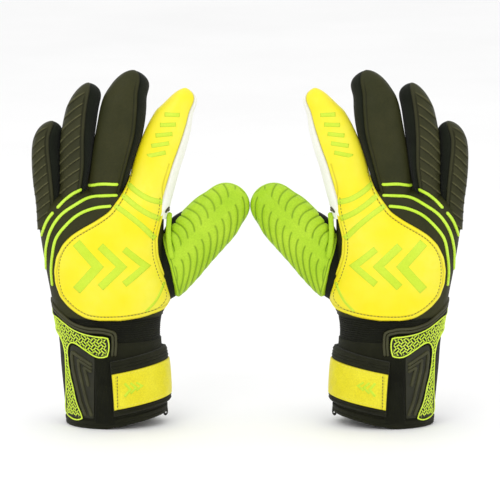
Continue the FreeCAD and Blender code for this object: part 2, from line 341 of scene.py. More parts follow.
def emit(name, mesh, look, body="hand", bend=None, replaces=()):
    """Both gloves' copies of a piece. bend is (joint, child body, mm before, mm after the hinge), of which
    only whether it is given is read: a piece with a bend is left in the row frame, any other is attached to
    its body.
    """
    for side in SIDES:
        obj = build_object(f"{side}_{name}", mesh, look, side)
        if bend:
            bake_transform(obj)
        else:
            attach(obj, f"{side}_{body}")
        if replaces:
            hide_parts(*[f"{side}_{node}" for node in replaces])


# ---------------------------------------------------------------- materials
def colour(red, green, blue):
    """A colour given as 0 to 255 screen values, in linear light."""
    def linear(value):
        value /= 255.0
        return value / 12.92 if value <= 0.04045 else ((value + 0.055) / 1.055) ** 2.4

    return (linear(red), linear(green), linear(blue), 1.0)


class Nodes:
    """A short way to build a material's nodes."""

    def __init__(self, name):
        self.material = bpy.data.materials.new(name)
        self.material.use_nodes = True
        self.tree = self.material.node_tree
        self.shader = self.tree.nodes["Principled BSDF"]
        self.place = self.tree.nodes.new("ShaderNodeTexCoord").outputs["Object"]
        self.normal = None

    def link(self, a, b):
        self.tree.links.new(a, b)

    def node(self, kind, inputs=None, **settings):
        node = self.tree.nodes.new("ShaderNode" + kind)
        for key, value in settings.items():
            setattr(node, key, value)
        for key, value in (inputs or {}).items():
            if isinstance(value, bpy.types.NodeSocket):
                self.link(value, node.inputs[key])
            else:
                node.inputs[key].default_value = value
        return node

    def set(self, **values):
        for key, value in values.items():
            self.shader.inputs[key.replace("_", " ")].default_value = value

    def flat(self):
        return self.node("UVMap", uv_map="Flat").outputs["UV"]

    def tone(self, label):
        return self.node("Attribute", attribute_name=label).outputs["Fac"]

    def noise(self, scale, detail=4.0, roughness=0.55, at=None):
        inputs = {"Vector": at or self.place, "Scale": scale, "Detail": detail, "Roughness": roughness}
        return self.node("TexNoise", inputs).outputs["Fac"]

    def spread(self, value, low, high, to_low=0.0, to_high=1.0):
        ends = {"Value": value, "From Min": low, "From Max": high, "To Min": to_low, "To Max": to_high}
        return self.node("MapRange", ends, clamp=True).outputs["Result"]

    def waves(self, at, scale, distortion, direction):
        inputs = {"Vector": at, "Scale": scale, "Distortion": distortion}
        return self.node("TexWave", inputs, bands_direction=direction).outputs["Fac"]

    def mix(self, share, a, b, blend="MIX"):
        node = self.node("Mix", data_type="RGBA", blend_type=blend)
        for socket, value in ((node.inputs[0], share), (node.inputs[6], a), (node.inputs[7], b)):
            if isinstance(value, bpy.types.NodeSocket):
                self.link(value, socket)
            else:
                socket.default_value = value
        return node.outputs[2]

    def bump(self, height, strength, distance):
        inputs = {"Height": height, "Strength": strength, "Distance": distance}
        if self.normal:
            inputs["Normal"] = self.normal
        self.normal = self.node("Bump", inputs).outputs["Normal"]

    def finish(self, base, blotches, low, high):
        """Ends the material with its colour and a roughness that varies in blotches from low to high."""
        self.link(base, self.shader.inputs["Base Color"])
        self.link(self.spread(self.noise(blotches), 0.3, 0.7, low, high), self.shader.inputs["Roughness"])
        if self.normal:
            self.link(self.normal, self.shader.inputs["Normal"])
        return self.material


def latex(name, main, light, shade, rough=(0.42, 0.6), coat=0.0, gloss=0.3):
    """Latex foam: fine grain, soft blotches, and painted shade where painted_shade marks edges, seams,
    grooves and folds.
    """
    n = Nodes(name)
    base = n.mix(n.spread(n.noise(38.0, 3.0), 0.35, 0.68), main, light)
    base = n.mix(n.spread(n.noise(900.0, 2.0), 0.3, 0.75, 0.0, 0.25), base, shade)
    # painted shade from the first tone, mixed towards the shade colour
    base = n.mix(n.tone("painted_shade"), base, shade)
    n.bump(n.noise(2600.0, 3.0, 0.6), 0.35, 0.00012)
    n.bump(n.noise(260.0, 3.0), 0.25, 0.0004)
    n.set(Coat_Weight=coat, Coat_Roughness=0.35, Specular_IOR_Level=gloss)
    return n.finish(base, 120.0, *rough)


def knit(name, main, light, rough):
    """Close knitted or neoprene fabric: fine crossing ridges from the flat coordinate."""
    n = Nodes(name)
    pitch = 1700.0
    across, up = n.waves(n.flat(), pitch / 14.0, 0.6, "X"), n.waves(n.flat(), pitch / 18.0, 0.6, "Y")
    weave = n.node("Math", {0: across, 1: up}, operation="MULTIPLY").outputs["Value"]
    base = n.mix(n.spread(n.noise(60.0), 0.35, 0.7, 0.0, 0.7), main, light)
    # painted highlight: the weave's raised crossings are coloured lighter
    base = n.mix(n.spread(weave, 0.2, 0.9, 0.0, 0.35), base, light)
    n.bump(weave, 0.5, 0.0003)
    n.set(Sheen_Weight=0.08, Sheen_Roughness=0.5, Specular_IOR_Level=0.12)
    return n.finish(base, 200.0, rough - 0.08, rough + 0.08)


def yellow_latex():
    """Vivid yellow with paler and greener patches; print_and_highlight carries the printed green."""
    n = Nodes("yellow_latex")
    base = n.mix(n.spread(n.noise(26.0, 2.0), 0.35, 0.7), colour(239, 221, 8), colour(235, 227, 64))
    base = n.mix(n.spread(n.noise(15.0, 2.0, at=n.flat()), 0.45, 0.75, 0.0, 0.5), base, colour(233, 225, 20))
    base = n.mix(n.tone("print_and_highlight"), base, colour(184, 222, 44))
    # painted shade from the first tone at edges, seams and grooves
    base = n.mix(n.tone("painted_shade"), base, colour(150, 128, 8))
    n.bump(n.noise(2400.0, 3.0), 0.3, 0.0001)
    n.bump(n.noise(180.0, 3.0), 0.2, 0.0004)
    n.set(Coat_Weight=0.08, Coat_Roughness=0.4, Specular_IOR_Level=0.3)
    return n.finish(base, 90.0, 0.36, 0.52)


def ribbed_latex():
    """The ring and little fingers' backs: fine diagonal ribbing between the moulded steps."""
    n = Nodes("dark_ribbed_latex")
    turned = n.node("Mapping", {"Vector": n.flat(), "Rotation": (0.0, 0.0, math.radians(-38.0))})
    wave = n.waves(turned.outputs["Vector"], 32.0, 0.4, "Y")
    base = n.mix(n.spread(n.noise(38.0, 3.0), 0.35, 0.68), colour(46, 47, 22), colour(56, 56, 29))
    # painted shade in the troughs of the fine ribbing
    base = n.mix(n.spread(wave, 0.0, 0.35, 0.35, 0.0), base, colour(26, 26, 14))
    # painted highlight on the moulded steps' ridges, from the second tone
    base = n.mix(n.tone("print_and_highlight"), base, colour(104, 102, 66))
    # painted shade from the first tone in edges, grooves and slots
    base = n.mix(n.tone("painted_shade"), base, colour(18, 18, 9))
    n.bump(wave, 0.5, 0.0004)
    n.bump(n.noise(2600.0, 3.0), 0.3, 0.0001)
    n.set(Specular_IOR_Level=0.2)
    return n.finish(base, 120.0, 0.46, 0.62)


def rubber(name, main, light, rough):
    """Moulded rubber: even, with a faint matt bloom and fine pitting."""
    n = Nodes(name)
    base = n.mix(n.spread(n.noise(70.0, 3.0), 0.35, 0.7), main, light)
    # painted shade from the first tone: a darker copy of the rubber's colour
    base = n.mix(n.tone("painted_shade"), base, tuple(0.45 * value for value in main[:3]) + (1.0,))
    n.bump(n.noise(3200.0, 2.0), 0.2, 0.00008)
    n.set(Specular_IOR_Level=0.3)
    return n.finish(base, 150.0, *rough)


def thread(name, main, shade):
    """Twisted sewing thread."""
    n = Nodes(name)
    twist = n.waves(n.place, 900.0, 1.0, "X")
    n.bump(twist, 0.4, 0.0001)
    n.set(Sheen_Weight=0.3)
    return n.finish(n.mix(twist, shade, main), 300.0, 0.55, 0.75)


MATERIALS = {
    "dark": latex("dark_latex", colour(44, 46, 20), colour(53, 53, 25), colour(20, 20, 10),
                  (0.5, 0.66), gloss=0.16),
    "ribbed": ribbed_latex(),
    "gusset": knit("gusset_fabric", colour(15, 19, 9), colour(25, 30, 17), 0.8),
    "yellow": yellow_latex(),
    "lime": latex("lime_latex", colour(162, 204, 26), colour(180, 216, 44), colour(92, 126, 8), (0.46, 0.6)),
    "white": latex("white_latex", colour(238, 238, 228), colour(246, 246, 240), colour(206, 205, 190),
                   (0.6, 0.8)),
    "stripe": latex("lime_rubber", colour(192, 232, 44), colour(206, 242, 72), colour(120, 150, 16),
                    (0.3, 0.42), coat=0.2),
    "black": knit("black_neoprene", colour(23, 24, 11), colour(35, 36, 20), 0.82),
    "elastic": knit("elastic_fabric", colour(15, 16, 7), colour(28, 30, 16), 0.86),
    "webbing": knit("strap_webbing", colour(24, 25, 12), colour(38, 39, 23), 0.78),
    "guard": rubber("guard_rubber", colour(29, 30, 15), colour(40, 41, 23), (0.42, 0.55)),
    # a lighter copy of the guard rubber for the raised ridges and rails: painted highlight
    "guard_highlit": rubber("guard_highlit_rubber", colour(50, 50, 27), colour(62, 62, 36), (0.42, 0.55)),
    "guard_lime": rubber("guard_lime_rubber", colour(204, 232, 56), colour(216, 240, 80), (0.4, 0.5)),
    "strap_yellow": latex("strap_yellow", colour(226, 214, 14), colour(234, 224, 42), colour(140, 124, 6),
                          (0.4, 0.55), coat=0.1),
    "print": latex("green_print", colour(196, 222, 44), colour(206, 230, 62), colour(160, 190, 20),
                   (0.4, 0.52)),
    "thread_yellow": thread("yellow_thread", colour(250, 244, 90), colour(200, 180, 20)),
    "thread_pale": thread("pale_thread", colour(214, 214, 200), colour(168, 166, 148)),
    "thread_olive": thread("olive_thread", colour(96, 84, 22), colour(60, 50, 10)),
    "thread_dark": thread("dark_thread", colour(70, 66, 30), colour(30, 28, 12)),
}


# ---------------------------------------------------------------- the hand's surface
def section(z):
    """(middle x, half width, half depth, side length) of the hand and cuff at height z."""
    return [through(LEVELS[:, 0], LEVELS[:, k], z) for k in range(1, 5)]


def swell(x, z, back):
    """How far flesh and foam push the hand's surface out beyond its plain section."""
    mounds = (
        (24.0, 128.0, 24.0, 30.0, 5.0, False),  # ball of the thumb
        (-30.0, 118.0, 20.0, 32.0, 3.5, False),  # heel of the hand
        (-4.0, 134.0, 18.0, 26.0, -3.0, False),  # hollow of the palm
        (-6.0, 178.0, 46.0, 9.0, 2.2, False),  # pads under the fingers
        (-4.0, 150.0, 52.0, 50.0, 1.6, True),  # crown of the back
    )
    total = np.zeros(np.broadcast(x, z).shape)
    for mx, mz, wx, wz, height, on_back in mounds:
        bell = np.exp(-(((x - mx) / wx) ** 2) - ((z - mz) / wz) ** 2)
        total = total + height * bell * np.where(back, on_back, not on_back)
    return total


def surface(p, z, lift=0.0):
    """A point of the hand or cuff. p runs round the section from the middle of the back, in mm, positive
    towards the thumb; lift moves the point outwards."""
    p, z, lift = np.broadcast_arrays(np.asarray(p, float), np.asarray(z, float), np.asarray(lift, float))
    middle, a, b, s = section(z)
    around = 2 * (2 * (a - s) + s * math.pi)
    p = p - around * np.round(p / around)
    flat = a - s
    turn = np.clip((np.abs(p) - flat) / s, 0.0, math.pi)
    over = np.maximum(np.abs(p) - flat - s * math.pi, 0.0)
    sign = np.where(p < 0, -1.0, 1.0)
    level = np.minimum(np.abs(p), flat) - over
    x = middle + sign * (level + s * np.sin(turn))
    y = MID_Y - b * np.cos(turn)
    outward = unit(np.stack([sign * b * np.sin(turn), -s * np.cos(turn)], axis=-1))
    lift = lift + swell(x, z, turn < math.pi / 2) * np.abs(np.cos(turn))
    return np.stack([x + outward[..., 0] * lift, y + outward[..., 1] * lift, z], axis=-1)


def round_from(x, z):
    """The coordinate p of the point on the back of the hand that shows at x from straight in front. An x
    beyond the silhouette counts as that much further round the side."""
    middle, a, _, s = section(z)
    w = np.asarray(x, float) - middle
    flat = a - s
    turn = np.arcsin(np.clip((np.abs(w) - flat) / s, 0.0, 1.0))
    beyond = np.maximum(np.abs(w) - a, 0.0)
    return np.where(np.abs(w) <= flat, w, np.sign(w) * (flat + s * turn + beyond))


def quarter_length(z):
    """p at the thumb-side silhouette."""
    _, a, _, s = section(z)
    return (a - s) + s * math.pi / 2


def half_length(z):
    """p at the middle of the palm."""
    return 2 * quarter_length(z)


# ---------------------------------------------------------------- fingers
class Finger:
    """A finger's skin as a function of the distance along it and the angle round it."""

    SQUARE = 2.35  # 2 is an ellipse; more is boxier
    TIP_DEPTH = 2.3  # the same, for the tip's outline from the side
    TIP_TAPER = 0.97  # width and depth at the tip's end before it is rounded, as a share of the shoulder's
    OUTER_START = 0.45  # the outer side starts to round this share of the tip's length below the shoulder

    def __init__(self, stations, tip, seam, tip_outer=1.55, tip_inner=4.2):
        self.stations = np.array(stations, float)
        self.spine = np.vstack([self.stations[:, :3], tip])
        self.at = distances(self.spine)
        self.length, self.shoulder = self.at[-1], self.at[-2]
        self.seams = np.array(seam, float)
        self.tip_outer, self.tip_inner = tip_outer, tip_inner
        self.outer_shoulder = self.shoulder - (
            0.0 if tip_outer > 2 else self.OUTER_START * (self.length - self.shoulder)
        )

    def position(self, s):
        return np.stack([through(self.at, self.spine[:, k], s) for k in range(3)], axis=-1)

    def size(self, s, inset):
        """Half width and half depth at s before the tip is rounded, and how far into the tip s is, 0 to 1."""
        end = self.length - inset
        a, b = (through(self.at, np.append(half, self.TIP_TAPER * half[-1]), np.minimum(s, end))
                for half in self.stations[:, 3:].T)
        t = np.clip((s - self.shoulder) / (end - self.shoulder), 0.0, 1.0)
        return a - inset, b - inset, t

    def ends_at(self, s):
        return s >= self.length - 1e-6

    def rows(self, start, stop, spacing):
        """Distances from start to stop, closing up towards the tip when stop is the finger's end."""
        if not self.ends_at(stop):
            return np.linspace(start, stop, max(3, int((stop - start) / spacing * FINE)))
        body = np.linspace(start, self.shoulder, max(3, int((self.shoulder - start) / spacing * FINE)))
        turns = np.linspace(0.0, 1.0, max(8, int(1.7 * (stop - self.shoulder) / spacing * FINE)))[1:]
        dome = self.shoulder + (self.length - self.shoulder) * np.sin(turns * math.pi / 2) ** 0.95
        return np.concatenate([body, dome])

    def seam_angle(self, s):
        """Angle of the seam between the back and the thumb-side gusset."""
        share = np.linspace(0.0, self.length, len(self.seams))
        u = through(share, self.seams, s)
        return np.arccos(np.sign(u) * np.abs(u) ** (self.SQUARE / 2))

    def skin(self, s, angle, inset=0.0):
        """Points at distance s and angle round: 0 on the thumb side, pi / 2 on the back."""
        s, angle = np.broadcast_arrays(np.asarray(s, float), np.asarray(angle, float))
        a, b, into_tip = self.size(s, inset)
        inside = np.minimum(s, self.length - inset)
        middle = self.position(inside)
        ahead = unit(self.position(np.minimum(inside + 0.5, self.length)) - self.position(inside - 0.5))
        across = unit(np.stack([ahead[..., 2], np.zeros_like(s), -ahead[..., 0]], axis=-1))
        palmward = np.cross(ahead, across)
        power = 2.0 / self.SQUARE
        u = np.sign(np.cos(angle)) * np.abs(np.cos(angle)) ** power
        v = -np.sign(np.sin(angle)) * np.abs(np.sin(angle)) ** power
        outer_tip = np.clip((s - self.outer_shoulder) / (self.length - inset - self.outer_shoulder), 0.0, 1.0)
        early = np.maximum(1.0 - outer_tip**self.tip_outer, 0.0) ** 0.55
        late = np.sqrt(np.maximum(1.0 - into_tip**self.tip_inner, 0.0))
        a = a * (early + (late - early) * (1 + u) / 2) + THIN
        b = b * np.sqrt(np.maximum(1.0 - into_tip**self.TIP_DEPTH, 0.0)) + THIN
        return middle + across * (a * u)[..., None] + palmward * (b * v)[..., None]

    def at_height(self, z):
        """Distance along the finger where its middle is at height z."""
        return np.interp(z, self.spine[:, 2], self.at)


def even_angles(finger, s, low, high, count, pull=0.4):
    """Angles from low to high at each distance s, spread evenly over the skin's width."""
    low, high = (np.broadcast_to(angle, s.shape)[:, None] for angle in (low, high))
    share = crowd(count, pull)
    angles = low + (high - low) * np.linspace(0.0, 1.0, 60)[None, :]
    reach = edge_distance(finger.skin(s[:, None], angles))[2]
    return np.array([np.interp(share, row / max(row[-1], TINY), angle) for row, angle in zip(reach, angles)])


# ---------------------------------------------------------------- shared makers
TREES = {}


def remember(name, mesh):
    """Keeps a piece's surface, in the glove's frame, so that trims can be laid on it."""
    points, _, _, faces, _ = mesh.arrays()
    TREES[name] = BVHTree.FromPolygons(points.tolist(), faces.tolist())


def lay_on(names, path, behind=False, smooth=True):
    """Points and normals where a path of (x, z) points falls on the named pieces, seen from the front or from
    behind. A point that misses them all takes its neighbour's place."""
    ahead = Vector((0, -1 if behind else 1, 0))
    found = []
    for x, z in path:
        hits = [TREES[name].ray_cast(Vector((x, 0, z)) - FAR * ahead, ahead) for name in names]
        hits = [hit for hit in hits if hit[0] is not None]
        if hits:
            place, normal, _, _ = min(hits, key=lambda hit: hit[3])
            found.append((place, normal if normal.dot(ahead) < 0 else -normal))
        else:
            found.append(found[-1] if found else None)
    first = next((pair for pair in found if pair), None)
    if first is None:
        return np.empty((0, 3)), np.empty((0, 3))
    points, normals = (np.array([tuple((pair or first)[k]) for pair in found]) for k in range(2))
    if smooth and len(points) > 4:
        for _ in range(3):
            normals[1:-1] = unit(normals[:-2] + 2 * normals[1:-1] + normals[2:])
        soften(points, 3)
    return points, normals


def bead(names, outline, width, height, spacing, mesh=None, steps=7):
    """A raised line of half-round section along (x, z) points, laid on the named pieces."""
    count = max(5, int(length_of(polyline(outline, 200)) / spacing * FINE))
    points, normals = lay_on(names, polyline(outline, count))
    return tube_mesh(points, normals, half_round(width, height, steps), mesh=mesh)


def stitches(names, outline, pitch, length, width, height, mesh=None, behind=False):
    """A row of separate thread loops along (x, z) points."""
    mesh = mesh or Mesh()
    count = max(2, int(length_of(polyline(outline, 400)) / pitch))
    middles = polyline(outline, count + 1)
    share = 0.5 * length / pitch
    for here, ahead in zip(middles[:-1], middles[1:]):
        ends = [here + (ahead - here) * (0.5 + share * t) for t in (-1.0, -0.4, 0.4, 1.0)]
        points, normals = lay_on(names, ends, behind)
        if len(points):
            tube_mesh(points, normals, half_round(width, height, 5, 0.15), mesh=mesh)
    return mesh


# ---------------------------------------------------------------- the hand
HAND_FOOT = 88.0
HAND_WALL = 2.6
FINGER_ROOTS_Z = 188.0  # the hand's width at this height spans the line of its top
TOP_LINE = np.array([
    (-64, 168), (-57, 176), (-48.8, 180), (-40, 182), (-34, 187), (-28, 190), (-16, 191),
    (-2, 193), (8, 192), (16, 189), (32, 190), (42, 187), (50, 178), (58, 166),
], float)
TOP_CURL = 11.0  # the hand closes in a rounded line over this height
WEBS = ((-38.6, 172.0, 193.0), (-16.6, 180.0, 205.0), (15.0, 182.0, 201.0))  # middle x, lowest and highest z
PALM_HEM = [(-34.0, 93.6), (0.0, 93.4), (34.0, 93.6)]  # the row of stitches over the wrist


def hand_half(front):
    """The back's dark panel or the white palm, from the cuff to the roots of the fingers."""
    rows = np.concatenate([np.linspace(0, 0.85, int(60 * FINE)), np.linspace(0.85, 1, int(26 * FINE))[1:]])
    shares = 2 * crowd(int(120 * FINE), 0.35) - 1
    middle, a, _, _ = section(FINGER_ROOTS_Z)
    top = through(TOP_LINE[:, 0], TOP_LINE[:, 1], middle + shares * a)
    z = HAND_FOOT + rows[:, None] * (top - HAND_FOOT)[None, :]
    p = shares[None, :] * quarter_length(z)
    if not front:
        p = np.where(shares[None, :] < 0, -1.0, 1.0) * (half_length(z) - np.abs(p))
        p = np.where(np.abs(shares[None, :]) < TINY, half_length(z), p)
    base = surface(p, z)
    curl = rounded(np.maximum(top[None, :] - z, 0.0), TOP_CURL)
    base[..., 1] = MID_Y + (base[..., 1] - MID_Y) * np.maximum(curl, THIN)
    normals = facing(grid_normals(base), np.array([0.0, -1.0 if front else 1.0, 0.0]))
    low, _, left, right = edge_distance(base)
    edge = np.minimum(np.minimum(left, right), low)
    height = 1.6 * (rounded(edge, 2.0) - 1.0) - 0.5 * dip(np.abs(low - 3.2), 1.0)
    # painted shade along the panel's lower edge and sides
    tone = toned(0.7 * (1 - smooth_step(edge, 0.0, 2.5)))
    mesh = slab(base + normals * height[..., None], base - normals * HAND_WALL, tone)
    remember("hand_front" if front else "hand_palm", mesh)
    return mesh


def add_webs(mesh):
    """Closes the crotches of the fingers with folds of dark cloth set back between them."""
    across, up = np.linspace(-6.0, 6.0, 12)[None, :], np.linspace(0.0, 1.0, 14)[:, None]
    for x, low, high in WEBS:
        outer = np.empty((14, 12, 3))
        outer[..., 0] = x + across
        outer[..., 1] = -6.0 + 9.0 * up**2 + 0.05 * across**2
        outer[..., 2] = low + (high - low) * up - 0.06 * across**2 * up
        slab(outer, outer + np.array([0.0, 1.8, 0.0]), mesh=mesh)
    return mesh


def hand():
    panel = add_webs(hand_half(True))
    emit("knuckle_panel", panel, "dark", replaces=["knuckle_panel"])
    emit("palm_latex", hand_half(False), "white", replaces=["palm_latex"])
    hem = stitches(["hand_palm"], PALM_HEM, pitch=3.0, length=2.2, width=0.6, height=0.25, behind=True)
    emit("palm_stitches", hem, "thread_pale")


# ---------------------------------------------------------------- fingers
BACK_EDGE = math.radians(188.0)
PALM_EDGE = math.radians(-22.0)
# Height of the split between a finger's lower and upper pieces.
SPLITS = {"index": 214.5, "middle": 220.0, "ring": 214.5, "little": 196.5}
BENDS = {  # mm of bending each side of the hinge
    "base": {"index": 12.0, "middle": 12.0, "ring": 12.0, "little": 10.0, "thumb": 8.0},
    "tip": {"index": 13.0, "middle": 13.0, "ring": 13.0, "little": 11.0, "thumb": 9.0},
}
FINGER_WALL = 2.6
STEP_PITCH = {"ring": 9.0, "little": 7.6}
HIDDEN_EDGE = 2.6  # width of a back that turns out of sight round its outer side


def over(finger, part="base"):
    """The bend tuple of a piece over a finger's knuckle or middle joint: joint, body and mm each side of the
    hinge.
    """
    reach = BENDS[part][finger]
    return f"{finger}_{part}_flex", f"{finger}_{part}", reach, reach


def strip(finger, start, stop, low, high, count, detail=None, spacing=1.5):
    """One lengthwise panel of a finger, between two angles that may change along it."""
    s = finger.rows(start, stop, spacing)
    low, high = (angle(s) if callable(angle) else angle for angle in (low, high))
    angles = even_angles(finger, s, low, high, max(6, int(count * FINE)))
    base = finger.skin(s[:, None], angles)
    deep = finger.skin(s[:, None], angles, FINGER_WALL)
    centre = finger.position(np.minimum(s, finger.length - 4.0))[:, None, :]
    normals = facing(grid_normals(base), base - centre)
    if finger.ends_at(stop):
        normals[-1] = unit(finger.spine[-1] - finger.position(finger.length - 3.0))
        normals[-2] = unit(normals[-2] + 0.5 * normals[-1])
    _, _, left, right = edge_distance(base)
    edge = np.minimum(left, right)
    height = 0.9 * (rounded(edge, 2.0) - 1.0)
    height = height * (1 - 0.6 * smooth_step(s, finger.shoulder + 4, finger.length))[:, None]
    # painted shade along the strip's two long edges
    shade, light = 0.8 * (1 - smooth_step(edge, 0.0, 1.6)), 0.0
    if detail:
        extra, more_shade, light = detail(finger, s[:, None] + 0 * angles, left, right, base)
        height, shade = height + extra, shade + more_shade
    hard = [0] if finger.ends_at(stop) else [0, -1]
    return slab(base + normals * height[..., None], deep, toned(shade, light), hard_rows=hard)


def banded(finger, s, left, right, base):
    """The edge bands of a dark finger back: a sewn groove a little inside each side."""
    inset = np.minimum(left - HIDDEN_EDGE, right)
    groove = dip(np.abs(inset - SEWN_GROOVE), 0.8)
    ending = 1 - smooth_step(s, finger.shoulder, finger.length - 3)
    crown = 0.5 * smooth_step(inset, SEWN_GROOVE, 9.0)
    # the second value is painted shade in the sewn groove
    return (crown - 0.55 * groove) * ending, 0.6 * groove * ending, 0.0


def stepped(pitch):
    """Diagonal moulded steps rising towards the thumb side, inside the edge bands."""
    def detail(finger, s, left, right, base):
        height, shade, light = banded(finger, s, left, right, base)
        inset = np.minimum(left - HIDDEN_EDGE, right)
        across = base[..., 0] - finger.position(s[:, :1])[..., 0]
        sag = 0.7 * across - 0.035 * np.minimum(across, 0.0) ** 2
        phase = (base[..., 2] - sag + 2.0) / pitch
        saw = phase - np.floor(phase)
        inside = smooth_step(inset, 3.2, 4.6) * (1 - smooth_step(s, finger.shoulder + 3, finger.length - 5))
        inside = inside * (0.3 + 0.7 * smooth_step(left - HIDDEN_EDGE, 4.0, 10.0))
        rise = smooth_step(saw, 0.0, 0.1) * (1 - saw)
        ridge = dip(np.abs(saw - 0.12), 0.1)
        slot = dip(saw, 0.07) + dip(1.0 - saw, 0.07)
        height = height + inside * (rise + 0.35 * ridge - 0.35 * slot)
        # painted shade in the slots between steps and painted highlight on each step's ridge
        return height, shade + 0.75 * inside * slot, light + 0.75 * inside * ridge

    return detail


def finger_pieces(name):
    """A finger in panels, each in a lower piece over the knuckle and an upper one over the middle joint."""
    finger = Finger(**FINGERS[name])
    split = finger.at_height(SPLITS[name])
    palm_edge = 2 * math.pi + PALM_EDGE
    if name == "index":
        panels = {
            "back": (BACK_EDGE, finger.seam_angle, 54, "yellow", None),
            "palm": (BACK_EDGE, lambda s: 2 * math.pi + finger.seam_angle(s), 64, "white", None),
        }
    else:
        back = ("ribbed", stepped(STEP_PITCH[name])) if name in RIBBED else ("dark", banded)
        panels = {
            "back": (BACK_EDGE, finger.seam_angle, 54, *back),
            "gusset": (finger.seam_angle, PALM_EDGE, 22, "gusset", None),
            "palm": (BACK_EDGE, palm_edge, 44, "white", None),
        }
    for panel, (low, high, count, look, detail) in panels.items():
        for part, start, stop in (("base", 0.0, split), ("tip", split, finger.length)):
            if (name, part, panel) == ("index", "base", "back"):
                continue  # the back panel runs on over it
            spacing = 0.55 if look == "ribbed" else 1.4
            mesh = strip(finger, start, stop, low, high, count, detail, spacing)
            piece = f"{name}_{part}_{panel}"
            remember(piece, mesh)
            replaced = [] if panel == "gusset" else [piece]
            emit(piece, mesh, look, bend=over(name, part), replaces=replaced)


# ---------------------------------------------------------------- patches cut to an outline
def rim(x):
    """Height of the cuff's lower edge, which climbs on the thumb side."""
    return np.maximum(0.0, 0.2 * (np.asarray(x, float) + 2.0))


def unrolled(outline):
    """An outline of (x, z) points as seen from the front, turned into (p, z)."""
    outline = np.asarray(outline, float)
    return np.stack([round_from(outline[:, 0], outline[:, 1]), outline[:, 1]], axis=1)


def distance_to(points, line):
    """Distance in the plane from each point to a dense line of points."""
    result = np.full(len(points), np.inf)
    for a, b in zip(line[:-1], line[1:]):
        ab = b - a
        t = np.clip(((points - a) @ ab) / max(ab @ ab, 1e-12), 0.0, 1.0)
        gap = points - a - t[:, None] * ab
        result = np.minimum(result, np.einsum("ij,ij->i", gap, gap))
    return np.sqrt(result)


def is_inside(points, line):
    """Whether each point lies within a closed line."""
    inside = np.zeros(len(points), bool)
    for (x0, y0), (x1, y1) in zip(line[:-1], line[1:]):
        crosses = (y0 > points[:, 1]) != (y1 > points[:, 1])
        at = x0 + (points[:, 1] - y0) * (x1 - x0) / (y1 - y0 if y1 != y0 else TINY)
        inside ^= crosses & (points[:, 0] < at)
    return inside


def inwards(line, ahead, closed, k=0, step=0.05):
    """Sideways vectors along a line, on the side that lies within the closed one, as told at its point k."""
    inward = np.stack([-ahead[:, 1], ahead[:, 0]], axis=1)
    return inward if is_inside(line[k:k + 1] + inward[k:k + 1] * step, closed)[0] else -inward


def cut_outline(closed, radius, spacing):
    """Points and triangles filling a closed line, with rings of points where the edge is rounded."""
    line = closed[:-1]
    ahead = unit(np.roll(line, -1, axis=0) - np.roll(line, 1, axis=0))
    inward = inwards(line, ahead, closed)
    points = [line]
    for share in (0.12, 0.35, 0.65, 1.0):
        ring = line + inward * radius * share
        keep = is_inside(ring, closed) & (distance_to(ring, closed) > 0.93 * radius * share)
        points.append(ring[keep])
    step = spacing / FINE
    low, high = line.min(axis=0), line.max(axis=0)
    xs, ys = np.arange(low[0], high[0], step), np.arange(low[1], high[1], step * 0.87)
    grid = np.stack(np.meshgrid(xs, ys), axis=-1)
    grid[1::2, :, 0] += step / 2
    grid = grid.reshape(-1, 2)
    grid = grid[is_inside(grid, closed)]
    points.append(grid[distance_to(grid, closed) > radius + 0.45 * step])
    points = np.vstack(points)
    n = len(line)
    rim_edges = [(k, (k + 1) % n) for k in range(n)]
    coords = [Vector(point) for point in points.tolist()]
    flat, _, faces, _, _, _ = delaunay_2d_cdt(coords, rim_edges, [list(range(n))], 1, 1e-5)
    return np.array([tuple(v) for v in flat]), np.array(faces)


def patch(outline, low, high, radius, spacing, place=surface, detail=None):
    """A padded sheet of any outline, in (p, z), lying between two lifts above the hand or cuff."""
    closed = np.vstack([outline, outline[:1]])
    count = max(40, int(length_of(closed) / (0.8 * spacing) * FINE))
    at = distances(closed)
    even = picked(closed, at, np.linspace(0.0, 1.0, count + 1) * at[-1])
    points, faces = cut_outline(even, radius, spacing)
    inset = distance_to(points, even)
    # shade is painted shade where the padded edge rounds down
    height, shade = high * rounded(inset, radius), 0.6 * (1 - smooth_step(inset, 0.0, 0.8 * radius))
    if detail:
        extra, more_shade = detail(points, inset)
        height, shade = height + extra, shade + more_shade
    top = place(points[:, 0], points[:, 1], height)
    under = place(points[:, 0], points[:, 1], low)
    n = len(points)
    a, b, c = top[faces[0]]
    away = top[faces[0]].mean(axis=0) - under[faces[0]].mean(axis=0)
    if np.dot(np.cross(b - a, c - a), away) < 0:
        faces = faces[:, ::-1]
    edges = [(face[k], face[(k + 1) % 3]) for face in faces.tolist() for k in range(3)]
    reversed_edges = {(b, a) for a, b in edges}
    walls = [(b, a, a + n, b + n) for a, b in edges if (a, b) not in reversed_edges]
    triangles = np.vstack([faces, faces[:, ::-1] + n])
    quads = np.vstack([np.column_stack([triangles, triangles[:, 2]]), walls])
    return Mesh().add(np.vstack([top, under]), quads, np.tile(points, (2, 1)), np.tile(toned(shade), (2, 1)))


# ---------------------------------------------------------------- the yellow back panel
PANEL_LEFT = [  # its sides, as (z, x)
    (88, -6.0), (89.8, -17.6), (94, -25.6), (99, -32), (106, -38.0), (116.8, -41.6), (127.2, -42.4),
    (138.4, -40.8), (148.8, -36), (156, -29.6), (161.6, -20.8), (167.2, -10.4), (174.6, 0.8), (185.4, 8.6),
    (192, 12.6), (200, 15.6), (212, 19.6),
]
PANEL_RIGHT = [
    (88, 8.0), (90.4, 26.4), (95.2, 44), (104, 49.0), (108, 49.8), (115.2, 46.4), (127.2, 42.0),
    (140, 38.8), (152.8, 38.4), (165.6, 41.2), (175.2, 43.6), (186, 44.6), (200, 45.8), (212, 48.5),
]
PANEL_HEIGHT = 2.2
PANEL_TO_FINGER = (178.0, 208.0)  # heights between which the panel leaves the hand's surface for the finger's


